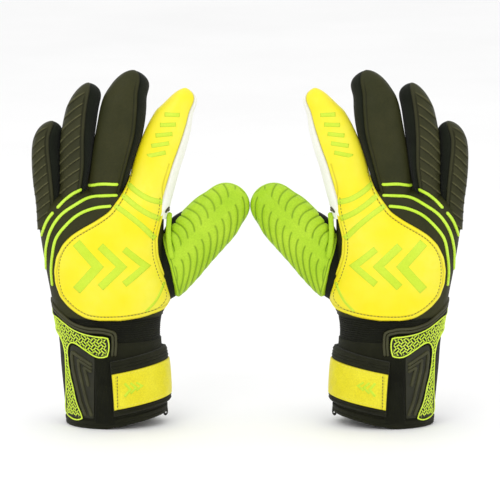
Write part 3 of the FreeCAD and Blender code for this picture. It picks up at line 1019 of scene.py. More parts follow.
def back_panel():
    """The yellow sheet over the back of the hand, running on up the index finger to above its knuckle."""
    finger = Finger(**FINGERS["index"])
    share = np.linspace(0.0, 1.0, max(20, int(150 * FINE)))
    share = 0.85 * share**1.35 + 0.15 * share
    top_z = float(finger.position(finger.at_height(SPLITS["index"]))[2])
    z = HAND_FOOT + (top_z - HAND_FOOT) * share
    s = finger.at_height(z)
    sides = []
    for line in (PANEL_LEFT, PANEL_RIGHT):
        heights, places = zip(*line)
        side = np.interp(z, heights, places)
        soften(side, int(6 * FINE**2))
        sides.append(round_from(side, z)[:, None])
    columns = max(12, int(100 * FINE))
    p = sides[0] + (sides[1] - sides[0]) * crowd(columns, 0.4)[None, :]
    angles = even_angles(finger, s, BACK_EDGE, finger.seam_angle(s), columns)
    w = smooth_step(z, *PANEL_TO_FINGER)[:, None, None]
    base = surface(p, z[:, None]) * (1 - w) + finger.skin(s[:, None], angles) * w
    normals = facing(grid_normals(base), np.array([0.0, -1.0, 0.0]))
    edge = np.full(base.shape[:2], np.inf)
    for point in np.vstack([base[::-1, 0], base[0], base[:, -1]]):
        edge = np.minimum(edge, np.linalg.norm(base - point, axis=2))
    raised = PANEL_HEIGHT * rounded(edge, 2.6) + 1.1 * smooth_step(edge, SEWN_GROOVE, 22.0)
    skin = 0.9 * (rounded(edge, 2.0) - 1.0)
    groove = dip(np.abs(edge - SEWN_GROOVE), 1.1)
    height = raised * (1 - w[..., 0]) + skin * w[..., 0] - 0.6 * groove * (1 - 0.5 * w[..., 0])
    under = (base - normals * 1.0) * (1 - w) + finger.skin(s[:, None], angles, FINGER_WALL) * w
    # painted shade in the sewn groove and along the panel's edge
    tone = toned(0.35 * groove + 0.5 * (1 - smooth_step(edge, 0.0, 1.4)))
    mesh = slab(base + normals * height[..., None], under, tone, hard_rows=[-1])
    remember("back_panel", mesh)
    emit("back_panel", mesh, "yellow", bend=over("index"), replaces=["back_panel", "index_base_back"])


PANEL_BANDS = (
    [(15, 196.5), (24, 190), (33, 185), (43.2, 181.5)],
    [(11.5, 188), (22, 180), (31, 174), (41, 168.5)],
    [(6.0, 180), (16, 173), (26, 165), (37.5, 153)],
)


def mitred(path):
    """Sideways vectors at the corners and ends of a path, lengthened at each corner to meet its mitre."""
    legs = unit(np.diff(path, axis=0))
    before, after = np.vstack([legs[:1], legs]), np.vstack([legs, legs[-1:]])
    ahead = unit(before + after)
    stretch = 1 / np.maximum(np.sum(ahead * after, axis=1), 0.4)
    return np.stack([ahead[:, 1], -ahead[:, 0]], axis=1) * stretch[:, None]


def printed(names, path, width, mesh, spacing=1.0, smooth=True, height=0.16):
    """A flat printed stroke along (x, z) points, hugging the pieces under it, with sharp corners if not
    smooth."""
    path = np.asarray(path, float)
    at = distances(path)
    if smooth:
        path = polyline(path, max(6, int(at[-1] / spacing * FINE)))
        side = mitred(path)
    else:
        legs = [np.linspace(low, high, max(3, int((high - low) / spacing * FINE)))
                for low, high in zip(at, at[1:])]
        want = np.concatenate([legs[0]] + [leg[1:] for leg in legs[1:]])
        path, side = picked(path, at, want), picked(mitred(path), at, want)
    shares = np.linspace(-0.5, 0.5, max(4, int(width / 0.9)))
    columns = [lay_on(names, path + side * share * width, smooth=False) for share in shares]
    points, normals = (np.stack(values, axis=1) for values in zip(*columns))
    lifts = np.full(len(shares), height)
    lifts[[0, -1]] = 0.3 * height
    slab(points + normals * lifts[None, :, None], points - normals * 0.5, mesh=mesh)


def panel_prints():
    """Three green bands, a plain chevron mark and a thin line on the yellow panel."""
    bands, mark = Mesh(), Mesh()
    mark_z, step = 132, 19.0
    for band in PANEL_BANDS:
        printed(["back_panel"], band, 4.4, bands)
    emit("panel_bands", bands, "print", bend=over("index"))
    for k, reach in enumerate((19.0, 16.5, 14.0)):
        x = -25.0 + step * k
        chevron = [(x, mark_z + reach), (x + 17.0, mark_z), (x, mark_z - reach)]
        printed(["back_panel"], chevron, 7.4 - k, mark, smooth=False)
    printed(["back_panel"], [(44.4, 117), (41.6, 110), (38.0, 103.5), (30.0, 95.0)], 2.0, mark)
    emit("panel_mark", mark, "print")


def index_mark():
    """Five plain slanting bars up the index finger."""
    finger = Finger(**FINGERS["index"])
    mesh = Mesh()
    for k in range(5):
        x, _, z = finger.position(finger.at_height(219.0 + 8.2 * k)) + np.array([-3.0, 0.0, 0.0])
        reach = 7.4 - 0.35 * k
        bar = [(x - reach, z - 0.5), (x + reach, z + 2.6 - 0.9 * k)]
        printed(["index_tip_back"], bar, 3.4, mesh, smooth=False)
    emit("index_mark", mesh, "print", bend=over("index", "tip"))


def panel_stitching():
    """The row of stitches round the yellow panel."""
    seam = [(19.8, 206), (13.0, 187), (4.4, 174.5), (-8.4, 164.6), (-19.2, 158.6), (-28, 153), (-33.6, 146.6),
            (-37.8, 137.6), (-39.2, 127.2), (-38.6, 117.6), (-35.6, 107.8), (-29.8, 101.6), (-24, 97),
            (-16.6, 93), (-5.6, 91.4), (8, 91.8), (26, 93.6), (41.6, 98.2), (46.2, 104.4), (46.0, 108.4),
            (43.2, 115), (38.8, 127), (35.6, 140), (35.2, 152.8), (38.0, 165.6), (40.4, 175.2), (41.4, 186)]
    mesh = stitches(["back_panel"], seam, pitch=2.7, length=2.1, width=0.62, height=0.25)
    emit("panel_stitches", mesh, "thread_olive")


# ---------------------------------------------------------------- lime stripes on the dark panel
STRIPES = {  # each stripe's path, and the finger whose knuckle it lies over
    "stripe_long_outer": ([
        (7.8, 187.2), (-3.2, 187.2), (-15.2, 185.6), (-26.4, 180), (-37.6, 172), (-45.4, 160.2),
        (-49.4, 146.0), (-50.2, 125.5)], None),
    "stripe_long_inner": ([
        (3.0, 179.4), (-11.2, 177.6), (-23.2, 172.8), (-32.8, 164.8), (-40.8, 154.4), (-44.6, 138.0),
        (-45.6, 125.5), (-44.8, 113.5)], None),
    "stripe_ring": ([(-16.8, 193.8), (-6.4, 196.4), (8.4, 196)], "middle"),
    "stripe_little": ([(-40.6, 177.4), (-34, 184), (-27.6, 189), (-20.8, 192)], "ring"),
    "stripe_side": ([(-53.6, 153), (-51.2, 161.0), (-47.4, 169.0), (-43.2, 174.6)], "little"),
}


def stripes():
    """The raised lime stripes over the knuckle panel and the fingers' roots."""
    under = ["hand_front"] + [f"{name}_base_{panel}" for name in ("ring", "little", "middle")
                              for panel in ("back", "gusset")]
    for name, (path, finger) in STRIPES.items():
        stripe = bead(under, path, width=2.5, height=1.25, spacing=0.9, steps=8)
        emit(name, stripe, "stripe", bend=over(finger) if finger else None)


# ---------------------------------------------------------------- the thumb
THUMB_PIVOT = np.array([67.3, 4.0, 150.3])
THUMB_AXIS = np.array([1.0, 0.0, 1.0]) / math.sqrt(2)
THUMB_SIDE = np.array([1.0, 0.0, -1.0]) / math.sqrt(2)
THUMB_DROP = 3.6  # the padded leaf lies this much towards the wrist from the hinges' line


def thumb_station(along, across, y, half_width, half_depth):
    place = THUMB_PIVOT + THUMB_AXIS * along + THUMB_SIDE * across - np.array([0.0, 0.0, THUMB_DROP])
    return (place[0], y, place[2], half_width, half_depth)


THUMB = Finger(
    [
        thumb_station(-60.0, 5.0, 2.0, 11.0, 12.0),
        thumb_station(-42.0, 4.0, 3.0, 18.5, 15.0),
        thumb_station(-22.0, 1.4, 3.6, 21.4, 15.6),
        thumb_station(-4.0, -0.6, 4.0, 21.8, 15.4),
        thumb_station(14.0, -1.4, 4.8, 21.6, 15.0),
        thumb_station(28.0, -1.6, 5.8, 20.8, 14.2),
        thumb_station(38.0, -1.8, 6.6, 18.4, 13.2),
    ],
    tuple(THUMB_PIVOT + THUMB_AXIS * 57.2 - THUMB_SIDE * 2.0 + np.array([0.0, 4.0, -THUMB_DROP])),
    (0.5, 0.5, 0.5),
    2.3,
    2.3,
)
THUMB_ZERO = float(THUMB.at[3]) + 4.0  # distance along the thumb at its first hinge
THUMB_SPLIT = THUMB_ZERO + 12.5
# The leaf's root edge, as places across the thumb and along it from its first hinge.
LEAF_ROOT = ((-22.5, -3.5), (-16.5, -13.0), (-8.0, -19.6), (0.0, -25.0), (11.0, -34.0), (22.5, -42.0))
LEAF_PITCH = 7.6
BINDING_PATH = [(48.8, -3.0, 172.0), (48.0, -6.5, 163.0), (48.0, -10.5, 153.0), (49.0, -12.8, 144.0),
                (50.8, -13.8, 136.0)]


def leaf_groove(along, across, bend, slope):
    """Distance to the nearest of a row of curved grooves that repeat along the thumb."""
    phase = along - slope * across - bend * across**2
    steepness = np.sqrt(1 + (slope + 2 * bend * across) ** 2)
    return np.abs(phase - LEAF_PITCH * np.round(phase / LEAF_PITCH)) / steepness


def leaf_detail(along, across, edge):
    """Sewn grooves: one row from the upper-left edge, one to the lower-right edge, a plain band between."""
    outline = dip(np.abs(edge - 2.6), 0.75)
    upper = leaf_groove(along, across + 18.0, -0.055, 0.65)
    lower = leaf_groove(along + 2.0, across - 4.0, -0.05, -0.25)
    on_upper, on_lower = 1 - smooth_step(across, -4.6, -3.4), smooth_step(across, 3.2, 4.4)
    lines = (dip(upper, 0.95) * on_upper + dip(lower, 0.95) * on_lower) * smooth_step(edge, 2.4, 3.2)
    pads = smooth_step(upper, 0.0, 3.0) * on_upper + smooth_step(lower, 0.0, 3.0) * on_lower
    fading = smooth_step(edge, 2.4, 9.0)
    deep = np.clip(outline + lines * (0.35 + 0.65 * fading), 0, 1)
    # the second value is painted shade in the sewn outline and the grooves
    return 0.5 * pads * fading - 0.6 * deep, 0.7 * np.clip(outline + lines, 0, 1)


def leaf(at_root):
    """The thumb's lime padded back, below or above the split."""
    columns = max(20, int(150 * FINE))
    first, last = math.radians(186.0), math.radians(-12.0)
    angles = first + (last - first) * crowd(columns, 0.2)
    if at_root:
        across = (THUMB.skin(THUMB_ZERO - 15.0, angles) - THUMB_PIVOT) @ THUMB_SIDE
        start = THUMB_ZERO + np.interp(across, *zip(*LEAF_ROOT))[None, :]
        s = start + (THUMB_SPLIT - start) * np.linspace(0.0, 1.0, max(10, int(100 * FINE)))[:, None]
    else:
        s = THUMB.rows(THUMB_SPLIT, THUMB.length, 0.62)[:, None] + 0 * angles[None, :]
    base, deep = THUMB.skin(s, angles), THUMB.skin(s, angles, 3.0)
    centre = THUMB.position(np.minimum(s, THUMB.length - 5.0))
    normals = facing(grid_normals(base), base - centre)
    low, _, left, right = edge_distance(base)
    edge = np.minimum(left, right)
    if at_root:
        edge, sewn = np.minimum(edge, low * 0.9), np.minimum(edge - HIDDEN_EDGE, low * 0.9)
    else:
        normals[-1] = unit(THUMB.spine[-1] - THUMB.position(THUMB.length - 4.0))
        to_tip = np.linalg.norm(base - base[-1, 0], axis=2)
        edge, sewn = np.minimum(edge, 0.92 * to_tip + 1.2), np.minimum(edge - HIDDEN_EDGE, 0.8 * to_tip - 1.0)
    from_pivot = base - THUMB_PIVOT
    waves, shade = leaf_detail(from_pivot @ THUMB_AXIS, from_pivot @ THUMB_SIDE, sewn)
    height = 1.6 * (rounded(edge, 2.4) - 1.0) + waves + 0.8
    # painted shade in the grooves and along the leaf's edges
    tone = toned(shade + 0.5 * (1 - smooth_step(edge, 0, 1.2)))
    return slab(base + normals * height[..., None], deep, tone, hard_rows=[-1 if at_root else 0])


def thumb_binding():
    """The narrow lime strip up from the thumb's root to the index finger, and the dark knots at its end."""
    path = polyline(BINDING_PATH, int(40 * FINE))
    normals = np.tile([0.0, -1.0, 0.0], (len(path), 1))
    profile = [(-2.1, -1.2), (-2.1, 0.3), (-1.4, 0.9), (0.0, 1.2), (1.4, 0.9), (2.1, 0.3), (2.1, -1.2)]
    bend = ("thumb_base_flex", "thumb_base", 24.0, 8.0)
    emit("thumb_binding", tube_mesh(path, normals, profile), "lime", bend=bend)
    knots = Mesh()
    for x, z, turn in ((46.8, 174.6, 0.9), (49.4, 173.4, -0.3)):
        dx, dz = 2.6 * math.cos(turn), 2.6 * math.sin(turn)
        ends = [(x - dx, z - dz), (x, z + 0.5), (x + dx, z + dz)]
        under = ["hand_front", "index_base_palm", "back_panel"]
        bead(under, ends, width=2.2, height=1.2, spacing=0.5, mesh=knots)
    emit("crotch_knots", knots, "thread_dark")


def thumb_gusset():
    """The dark cloth under the leaf, which bulges out into the crotch of the thumb."""
    s = np.linspace(0.0, THUMB_SPLIT, max(10, int(60 * FINE)))
    angles = even_angles(THUMB, s, math.radians(184.0), math.radians(-10.0), max(10, int(60 * FINE)))
    outer, inner = THUMB.skin(s[:, None], angles, 1.6), THUMB.skin(s[:, None], angles, 3.4)
    bulge = 4.6 * np.exp(-(((s - THUMB_ZERO - 1.0) / 13.0) ** 2))[:, None] * smooth_step(angles, 2.3, 3.0)
    emit("thumb_gusset", slab(outer - bulge[..., None] * THUMB_SIDE, inner), "gusset", bend=over("thumb"))


def thumb():
    for part, replaced in (("base", ["thumb_base_back", "thumb_root"]), ("tip", ["thumb_tip_back"])):
        emit(f"thumb_{part}_back", leaf(part == "base"), "lime", bend=over("thumb", part), replaces=replaced)
    thumb_gusset()
    thumb_binding()
    for part, start, stop in (("base", 0.0, THUMB_SPLIT), ("tip", THUMB_SPLIT, THUMB.length)):
        mesh = strip(THUMB, start, stop, math.radians(186.0), math.radians(348.0), 60)
        emit(f"thumb_{part}_palm", mesh, "white", bend=over("thumb", part), replaces=[f"thumb_{part}_palm"])


# ---------------------------------------------------------------- the cuff
CUFF_TOP = 70.0
CUFF_WALL = 3.6
HEM_STITCH = 3.3  # height of the hem's sewn groove over the rim
ELASTIC_Z = (67.0, 92.0)
ELASTIC_PITCH = 1.75
TAB_Z = 14.0
# The pull tab's fold, as distances from the cuff's skin and heights over the rim.
TAB_FOLD = ((0.5, 7.0), (0.9, 4.0), (1.3, 1.0), (1.5, -1.2), (1.1, -2.6), (0.0, -3.2), (-1.2, -2.6),
            (-1.8, -1.0), (-2.2, 1.6))


def ring_grid(z, columns):
    """p all the way round, from the palm's middle over the back to the palm's middle."""
    return np.linspace(-0.9985, 0.9985, columns)[None, :] * half_length(z)


def cuff_tube():
    """The neoprene tube with a bound hem, closed by a sewn seam down the palm side."""
    columns = int(220 * FINE)
    share = np.concatenate([np.linspace(0, 0.13, int(34 * FINE)), np.linspace(0.13, 1, int(40 * FINE))[1:]])
    z = np.full((1, 1), 10.0)
    foot = rim(surface(ring_grid(z, columns), z)[..., 0])
    z = foot + share[:, None] * (CUFF_TOP - foot)
    p = ring_grid(z, columns)
    up = z - foot
    hem = 0.9 * rounded(up, 1.4) * (1 - smooth_step(up, 6.2, 6.8)) - 0.5 * dip(np.abs(up - HEM_STITCH), 0.7)
    below = -0.5 * dip(np.abs(up - 7.4), 0.8)
    seam = -0.8 * dip(half_length(z) - np.abs(p), 1.6)
    lift = hem + below + seam - 0.6 * (1 - rounded(up, 1.4))
    # painted shade in the hem's sewn groove (the neoprene's knit material does not read it)
    tone = toned(0.6 * dip(np.abs(up - HEM_STITCH), 0.8))
    mesh = slab(surface(p, z, lift), surface(p, z, -CUFF_WALL), tone)
    emit("cuff", mesh, "black", replaces=["cuff"])


def pull_tab():
    """The small folded webbing tab sewn over the rim on the thumb side."""
    middle = float(quarter_length(TAB_Z)) - 3.0
    edge_z = float(rim(surface(middle, TAB_Z)[0]))
    fold = polyline(TAB_FOLD, 26)
    p, lift = np.meshgrid(middle + 3.6 * np.sin(np.linspace(-math.pi / 2, math.pi / 2, 16)), fold[:, 0])
    outer = surface(p, edge_z + fold[:, 1:2], lift)
    normals = grid_normals(outer)
    if normals[0, 8, 0] < 0:
        normals = -normals
    emit("cuff_pull_tab", slab(outer, outer - 0.8 * normals), "webbing")


def elastic():
    """The gathered elastic band above the strap, in fine level ribs."""
    low, high = ELASTIC_Z
    rows, columns = int((high - low) / ELASTIC_PITCH * 7 * (1.0 if FINE == 1 else 0.6)), int(180 * FINE)
    z = np.linspace(low, high, rows)[:, None]
    p = ring_grid(z, columns)
    waver = 0.3 * np.sin(p * 0.11) + 0.2 * np.sin(p * 0.31 + 1.0)
    wave = np.abs(np.sin((z + waver) * math.pi / ELASTIC_PITCH)) ** 0.7
    gather = 0.12 * np.sin(p * 1.3) * np.sin(z * 0.5)
    outer, inner = surface(p, z, -1.6 + 0.8 * wave + gather), surface(p, z, -CUFF_WALL)
    # painted shade in the troughs between ribs (the knit material does not read it)
    emit("elastic_wristband", slab(outer, inner, toned(0.7 * (1 - wave))), "elastic",
         replaces=["elastic_wristband"])


# ---------------------------------------------------------------- the guard on the little-finger side
GUARD_INNER_LEG = [(-20.4, 9.0), (-24.4, 20.0), (-27.4, 33.0), (-30.2, 46.0), (-31.4, 56.0)]
GUARD_T = (
    [(-51.0, 96.0), (-44.6, 92.2), (-38.4, 87.6), (-35.4, 85.6), (-24.5, 79.6), (-9.8, 76.2), (-1.6, 75.2),
     (0.1, 74.6), (0.7, 72.8), (0.3, 61.0), (-0.4, 59.2), (-2.4, 58.4), (-9.6, 58.4), (-11.6, 59.2),
     (-18.6, 63.6), (-26.8, 68.4),
     (-28.6, 68.6), (-30.2, 67.4), (-31.4, 64.4)]
    + GUARD_INNER_LEG[::-1]
    + [(-20.2, 7.8), (-21.2, 7.0), (-32.6, 8.0), (-33.6, 9.2), (-33.8, 29.5), (-34.2, 51.0), (-34.8, 61.0),
       (-36.6, 68.5), (-40.6, 75.0), (-45.0, 77.6), (-50.0, 78.0)]
)
GUARD_HEIGHT = 1.5
WEAVE_PITCH = 5.2
WEAVE_EDGE = 1.35  # the weave stops this far inside the border's outer edge
CELL_LENGTH = 4.75
CELL_BREADTH = 2.15
LANDING_PITCH = 1.2  # of the landing strip's ribs
CELL_BEAD = (GUARD_HEIGHT - 0.5, 0.62, 0.42)  # lift, width and height of a cell's outline


def on_guard(path, lift, width, height, mesh, closed=False, steps=5):
    """A bead along (p, z) points at a height above the cuff's surface."""
    p, z = path.T
    step = 0.2  # for the slopes
    across = surface(p + step, z, lift) - surface(p - step, z, lift)
    along = surface(p, z + step, lift) - surface(p, z - step, lift)
    profile = half_round(width, height, steps, 0.3)
    tube_mesh(surface(p, z, lift), np.cross(across, along), profile, closed, mesh)


def guard_t():
    """The T shape with its raised lime border and its basket weave of small oblong cells."""
    outline = unrolled(GUARD_T)
    line = np.vstack([outline, outline[:1]])

    def recess(points, inset):
        sunk = smooth_step(inset, 1.3, 1.7)
        # painted shade over the sunken field inside the border
        return -0.45 * sunk, 0.2 * sunk

    mesh = patch(outline, low=-1.0, high=GUARD_HEIGHT, radius=0.7, spacing=1.3, detail=recess)
    emit("guard_t", mesh, "guard", replaces=["cuff_guard"])
    dense = polyline(line, 500)
    edge = dense + 0.9 * inwards(dense, unit(np.gradient(dense, axis=0)), line, 5, 1.0)
    soften(edge)
    border, cells = Mesh(), Mesh()
    on_guard(edge[:-1], lift=GUARD_HEIGHT - 0.25, width=1.15, height=0.55, mesh=border, closed=True)
    emit("guard_border", border, "guard_lime")
    low, high = outline.min(axis=0), outline.max(axis=0)
    columns, rows = ((high - low) / WEAVE_PITCH * (1, 2)).astype(int) + 1
    middles = np.array([low + WEAVE_PITCH * np.array([i + 0.5 * (j % 2), 0.5 * j])
                        for j in range(rows) for i in range(columns)])
    near = is_inside(middles, line) | (distance_to(middles, line) < 1.5)
    for k in np.flatnonzero(near):
        oblong_cell(*middles[k], -45.0 if k // columns % 2 == 0 else 45.0, line, cells)
    emit("guard_weave", cells, "guard_lime")


def oblong_cell(x, z, lean, line, mesh):
    """One outlined cell of the weave, leaning one way or the other, cut off where it meets the border."""
    cosine, sine = math.cos(math.radians(lean)), math.sin(math.radians(lean))
    ends, radius = (CELL_LENGTH - CELL_BREADTH) / 2, CELL_BREADTH / 2
    loop = []
    for start, shift in ((-90, ends), (90, -ends)):
        for turn in range(0, 181, 36):
            a = math.radians(start + turn)
            u, v = shift + radius * math.cos(a), radius * math.sin(a)
            loop.append((x + u * cosine - v * sine, z + u * sine + v * cosine))
    loop = np.array(loop)
    kept = is_inside(loop, line) & (distance_to(loop, line) > WEAVE_EDGE)
    if kept.all():
        on_guard(loop, *CELL_BEAD, mesh, closed=True, steps=4)
        return
    first = int(np.argmin(kept))
    loop, kept = np.roll(loop, -first, axis=0), np.roll(kept, -first)
    breaks = np.flatnonzero(np.diff(np.concatenate([[0], kept.astype(int), [0]])))
    for start, stop in breaks.reshape(-1, 2):
        if stop - start > 2:
            on_guard(loop[start:stop], *CELL_BEAD, mesh, steps=4)


def guard_chevrons():
    """The nested moulded ridges beside the T, each with a leaning leg, a sharp corner and a falling arm, and
    the two rails that follow the T's head."""
    outline = unrolled([
        (-30.4, 66.0), (-28.6, 68.0), (-21.6, 65.6), (-10.8, 58.6), (-11.2, 34.0), (-11.6, 8.5), (-20.0, 8.5),
        (-24.0, 20.0), (-27.2, 33.0), (-30.0, 46.0), (-30.6, 58.0),
    ])
    base = patch(outline, low=-0.8, high=0.9, radius=0.6, spacing=1.6)
    emit("guard_chevron_base", base, "guard")
    ridges, rails = Mesh(), Mesh()
    for shift in (2.6, 7.2, 11.8):
        x, top = -31.0 + shift, 65.2 - 1.25 * shift
        leg = [(a + shift, b + 1.5) for a, b in GUARD_INNER_LEG if a + shift < -12.6 and b + 1.5 < top - 3]
        arm = [(x + t * (-12.8 - x), top - t * (-12.8 - x) * 0.62) for t in (0.5, 1.0)]
        path = unrolled([*leg, (x, top), *arm])
        at = distances(path)
        path = picked(path, at, np.linspace(0, at[-1], max(12, int(at[-1] / 0.8 * FINE))))
        soften(path)
        on_guard(path, lift=0.7, width=2.7, height=1.7, mesh=ridges, steps=9)
    # the ridges take the lighter copy of the guard rubber: painted highlight
    emit("guard_chevrons", ridges, "guard_highlit")
    for out in (2.1, 4.6):
        path = [(-49.0 - 0.5 * out, 97.0 + out), (-44.6, 93.4 + out), (-38.0, 87.2 + out),
                (-27.2, 80.0 + out), (-16.8, 77.2 + out), (-2.4, 76.0 + out),
                (0.9 + 0.9 * out, 75.0 + 0.6 * out), (1.4 + out, 71.0), (0.9 + out, 59.5)]
        path = polyline(unrolled(path), int(120 * FINE))
        on_guard(path, lift=0.2, width=2.3, height=1.2, mesh=rails, steps=8)
    # the rails take the lighter copy of the guard rubber: painted highlight
    emit("guard_rails", rails, "guard_highlit")


def landing():
    """The fleecy strip that the strap closes on, in fine upright ribs."""
    outline = unrolled([(-11.4, 57.0), (5.5, 56.6), (5.5, 4.0), (-2.0, 3.4), (-11.4, 3.6)])

    def ribs(points, inset):
        wave = np.abs(np.sin(points[:, 0] * math.pi / LANDING_PITCH))
        inside = smooth_step(inset, 0.6, 1.2)
        # painted shade in the troughs between ribs (the knit material does not read it)
        return 0.45 * wave * inside, 0.5 * (1 - wave) * inside

    mesh = patch(outline, low=-0.8, high=0.7, radius=0.5, spacing=0.42, detail=ribs)
    emit("cuff_landing", mesh, "elastic")


# ---------------------------------------------------------------- the strap
STRAP_Z = (10.0, 55.0)
STRAP_SLOPE = 0.2
STRAP_LIFT = 0.5
STRAP_THICKNESS = 2.9
STRAP_END_X = 3.0
STRAP_MIDDLE_Z = 35.0
STRAP_RIDGES = (12.0, 14.3, 47.4, 49.9, 52.4)
STRAP_BEND = ("strap_open", "strap", 5.0, 5.0)
PATCH_Z = (15.5, 45.0)
PATCH_ROUND = 0.8
ANCHOR_END_X = -26.0  # where the fixed end is sewn down, on the palm side


def strap_place(p, level, lift):
    """A point of the strap: level is the height that it would have at x = 0."""
    x = surface(p, STRAP_MIDDLE_Z)[..., 0]
    for _ in range(2):
        x = surface(p, level + STRAP_SLOPE * x)[..., 0]
    return surface(p, level + STRAP_SLOPE * x, lift)


def strap_sheet(p_low, p_high, columns, thickness):
    """A length of the strap, with its raised ridges and the sewn groove beside each."""
    low, high = STRAP_Z
    p, level = np.meshgrid(p_low + (p_high - p_low) * crowd(columns, 0.3),
                           low + (high - low) * crowd(int(110 * FINE), 0.3))
    edge = np.min(edge_distance(strap_place(p, level, STRAP_LIFT + thickness)), axis=0)
    lift = STRAP_LIFT + thickness - 1.3 * (1 - rounded(edge, 1.3))
    shade = np.zeros(p.shape)
    for place in STRAP_RIDGES:
        groove = dip(np.abs(level - place - 1.5), 0.5)
        lift = lift + 0.55 * dip(np.abs(level - place), 1.05) - 0.3 * groove
        # painted shade in the sewn groove beside each ridge (the webbing's knit material does not read it)
        shade += 0.6 * groove
    return slab(strap_place(p, level, lift), strap_place(p, level, STRAP_LIFT), toned(shade))


def strap():
    """The free flap and the length sewn round the palm side, which meet at the thumb side."""
    start = float(round_from(STRAP_END_X, STRAP_MIDDLE_Z))
    side = float(quarter_length(STRAP_MIDDLE_Z))
    flap = strap_sheet(start, side + 5.0, int(130 * FINE), STRAP_THICKNESS)
    emit("strap_flap", flap, "webbing", bend=STRAP_BEND, replaces=["strap_flap"])
    palm_end = 2 * side - float(round_from(ANCHOR_END_X, STRAP_MIDDLE_Z))
    anchor = strap_sheet(side - 3.0, palm_end, int(80 * FINE), STRAP_THICKNESS - 1.2)
    emit("strap_anchor", anchor, "webbing", replaces=["strap_anchor"])


def strap_patch():
    """The yellow patch with its hemmed free end, its stitching and a small plain mark."""
    low, high = PATCH_Z
    top = STRAP_LIFT + STRAP_THICKNESS
    xs, levels = np.array([
        (3.4, low), (20, low), (34, low), (42, low), (45.4, low), (45.4, 0.5 * (low + high)),
        (45.4, high), (42, high), (34, high), (20, high), (3.4, high), (3.4, 30.0),
    ]).T
    outline = np.stack([round_from(xs, STRAP_MIDDLE_Z), levels], axis=1)
    outline[4:7, 0] += 3.0
    hem_p = float(round_from(6.4, STRAP_MIDDLE_Z))

    def hem(points, inset):
        p, level = points.T
        on_hem = 1 - smooth_step(p, hem_p - 0.5, hem_p + 0.1)
        groove = dip(np.abs(p - hem_p - 0.4), 0.7)
        seam = dip(np.abs(inset - 2.0), 0.6)
        ripple = 0.16 * np.sin(p * 0.55) * np.sin(level * 0.4 + p * 0.13)
        relief = 0.35 * on_hem - 0.25 * groove - 0.2 * seam + ripple * smooth_step(inset, 1, 5)
        # the second value is painted shade in the hem's groove
        return relief + (top + 0.95 * rounded(inset, PATCH_ROUND)), 0.5 * groove

    mesh = patch(outline, low=top - 0.5, high=0.0, radius=PATCH_ROUND, spacing=1.3, place=strap_place,
                 detail=hem)
    remember("strap_patch", mesh)
    emit("strap_patch", mesh, "strap_yellow", bend=STRAP_BEND, replaces=["strap_patch"])
    marks, border = Mesh(), Mesh()
    for k in range(3):
        x, z = 13.0 + 4.6 * k, 33.0 + 1.2 * k
        mark = [(x, z + 5.6 - k), (x + 4.6, z + 0.6), (x, z - 5.0 + k)]
        printed(["strap_patch"], mark, 2.1 - 0.3 * k, marks, smooth=False, spacing=0.9, height=0.1)
    emit("strap_mark", marks, "print", body="strap")
    ends = [(7.2, low + 3.0), (7.2, high - 0.2)]
    seams = stitches(["strap_patch"], ends, pitch=2.6, length=1.8, width=0.6, height=0.25)
    emit("strap_hem_stitches", seams, "thread_dark", body="strap")
    for level in (low + 1.8, high - 1.8):
        path = [(x, level + STRAP_SLOPE * x) for x in np.linspace(9, 43, 8)]
        stitches(["strap_patch"], path, pitch=2.8, length=1.9, width=0.6, height=0.22, mesh=border)
    emit("strap_patch_stitches", border, "thread_yellow", bend=STRAP_BEND)


# ---------------------------------------------------------------- stage, light and camera
LIGHT_AIM = (0.0, 0.0, 0.14)
WORLD_STRENGTH = 0.995


def stage():
    """A sheet of white paper under the gloves."""
    material = Nodes("floor_paper")
    clouds = material.spread(material.noise(3.0), 0.3, 0.7)
    material.finish(material.mix(clouds, colour(246, 246, 246), colour(250, 250, 250)), 60.0, 0.75, 0.85)
    floor = bpy.data.meshes.new("floor")
    reach = 6.0
    corners = [(-reach, -reach, 0), (reach, -reach, 0), (reach, reach, 0), (-reach, reach, 0)]
    floor.from_pydata(corners, [], [(0, 1, 2, 3)])
    floor.materials.append(material.material)
    obj = bpy.data.objects.new("floor", floor)
    bpy.context.scene.collection.objects.link(obj)


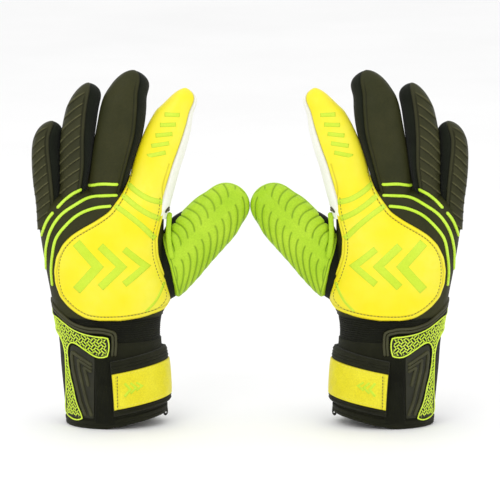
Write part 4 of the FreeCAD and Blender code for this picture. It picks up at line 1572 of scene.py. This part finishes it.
def light(name, place, size, power):
    """A soft box that faces the gloves."""
    data = bpy.data.lights.new(name, "AREA")
    data.shape = "RECTANGLE"
    data.size, data.size_y = size
    data.energy = power
    lamp = bpy.data.objects.new(name, data)
    lamp.location = place
    lamp.rotation_euler = (Vector(LIGHT_AIM) - Vector(place)).to_track_quat("-Z", "Y").to_euler()
    bpy.context.scene.collection.objects.link(lamp)


def lights():
    light("key", (-0.7, -1.5, 1.5), (1.2, 1.0), 8.2)
    light("fill", (1.1, -1.5, 0.8), (1.2, 1.0), 3.0)
    light("top", (0.0, 0.1, 1.9), (1.6, 1.2), 4.0)
    world = bpy.data.worlds.new("studio")
    world.use_nodes = True
    background = world.node_tree.nodes["Background"].inputs
    background["Color"].default_value = (1.0, 1.0, 1.0, 1.0)
    background["Strength"].default_value = WORLD_STRENGTH
    bpy.context.scene.world = world


CAMERA_DISTANCE = 3.0
CAMERA_RISE = math.radians(10.0)
VIEW_WIDTH = 0.4  # metres across the picture, at the gloves
PICTURE_MIDDLE = 0.1387  # height of the picture's middle above the floor, measured up the picture


def camera():
    data = bpy.data.cameras.new("camera")
    data.lens = data.sensor_width * CAMERA_DISTANCE / VIEW_WIDTH
    data.clip_end = 50.0
    obj = bpy.data.objects.new("camera", data)
    middle = Vector((0.0, 0.0, PICTURE_MIDDLE / math.cos(CAMERA_RISE)))
    back = Vector((0.0, -math.cos(CAMERA_RISE), math.sin(CAMERA_RISE)))
    obj.location = middle + back * CAMERA_DISTANCE
    obj.rotation_euler = (-back).to_track_quat("-Z", "Y").to_euler()
    bpy.context.scene.collection.objects.link(obj)
    bpy.context.scene.camera = obj


# ---------------------------------------------------------------- the whole scene
camera()
stage()
lights()
hand()
for finger_name in FINGERS:
    finger_pieces(finger_name)
back_panel()
panel_prints()
index_mark()
panel_stitching()
stripes()
thumb()
cuff_tube()
pull_tab()
elastic()
guard_t()
guard_chevrons()
landing()
strap()
strap_patch()

bpy.context.scene.view_settings.view_transform = "Standard"
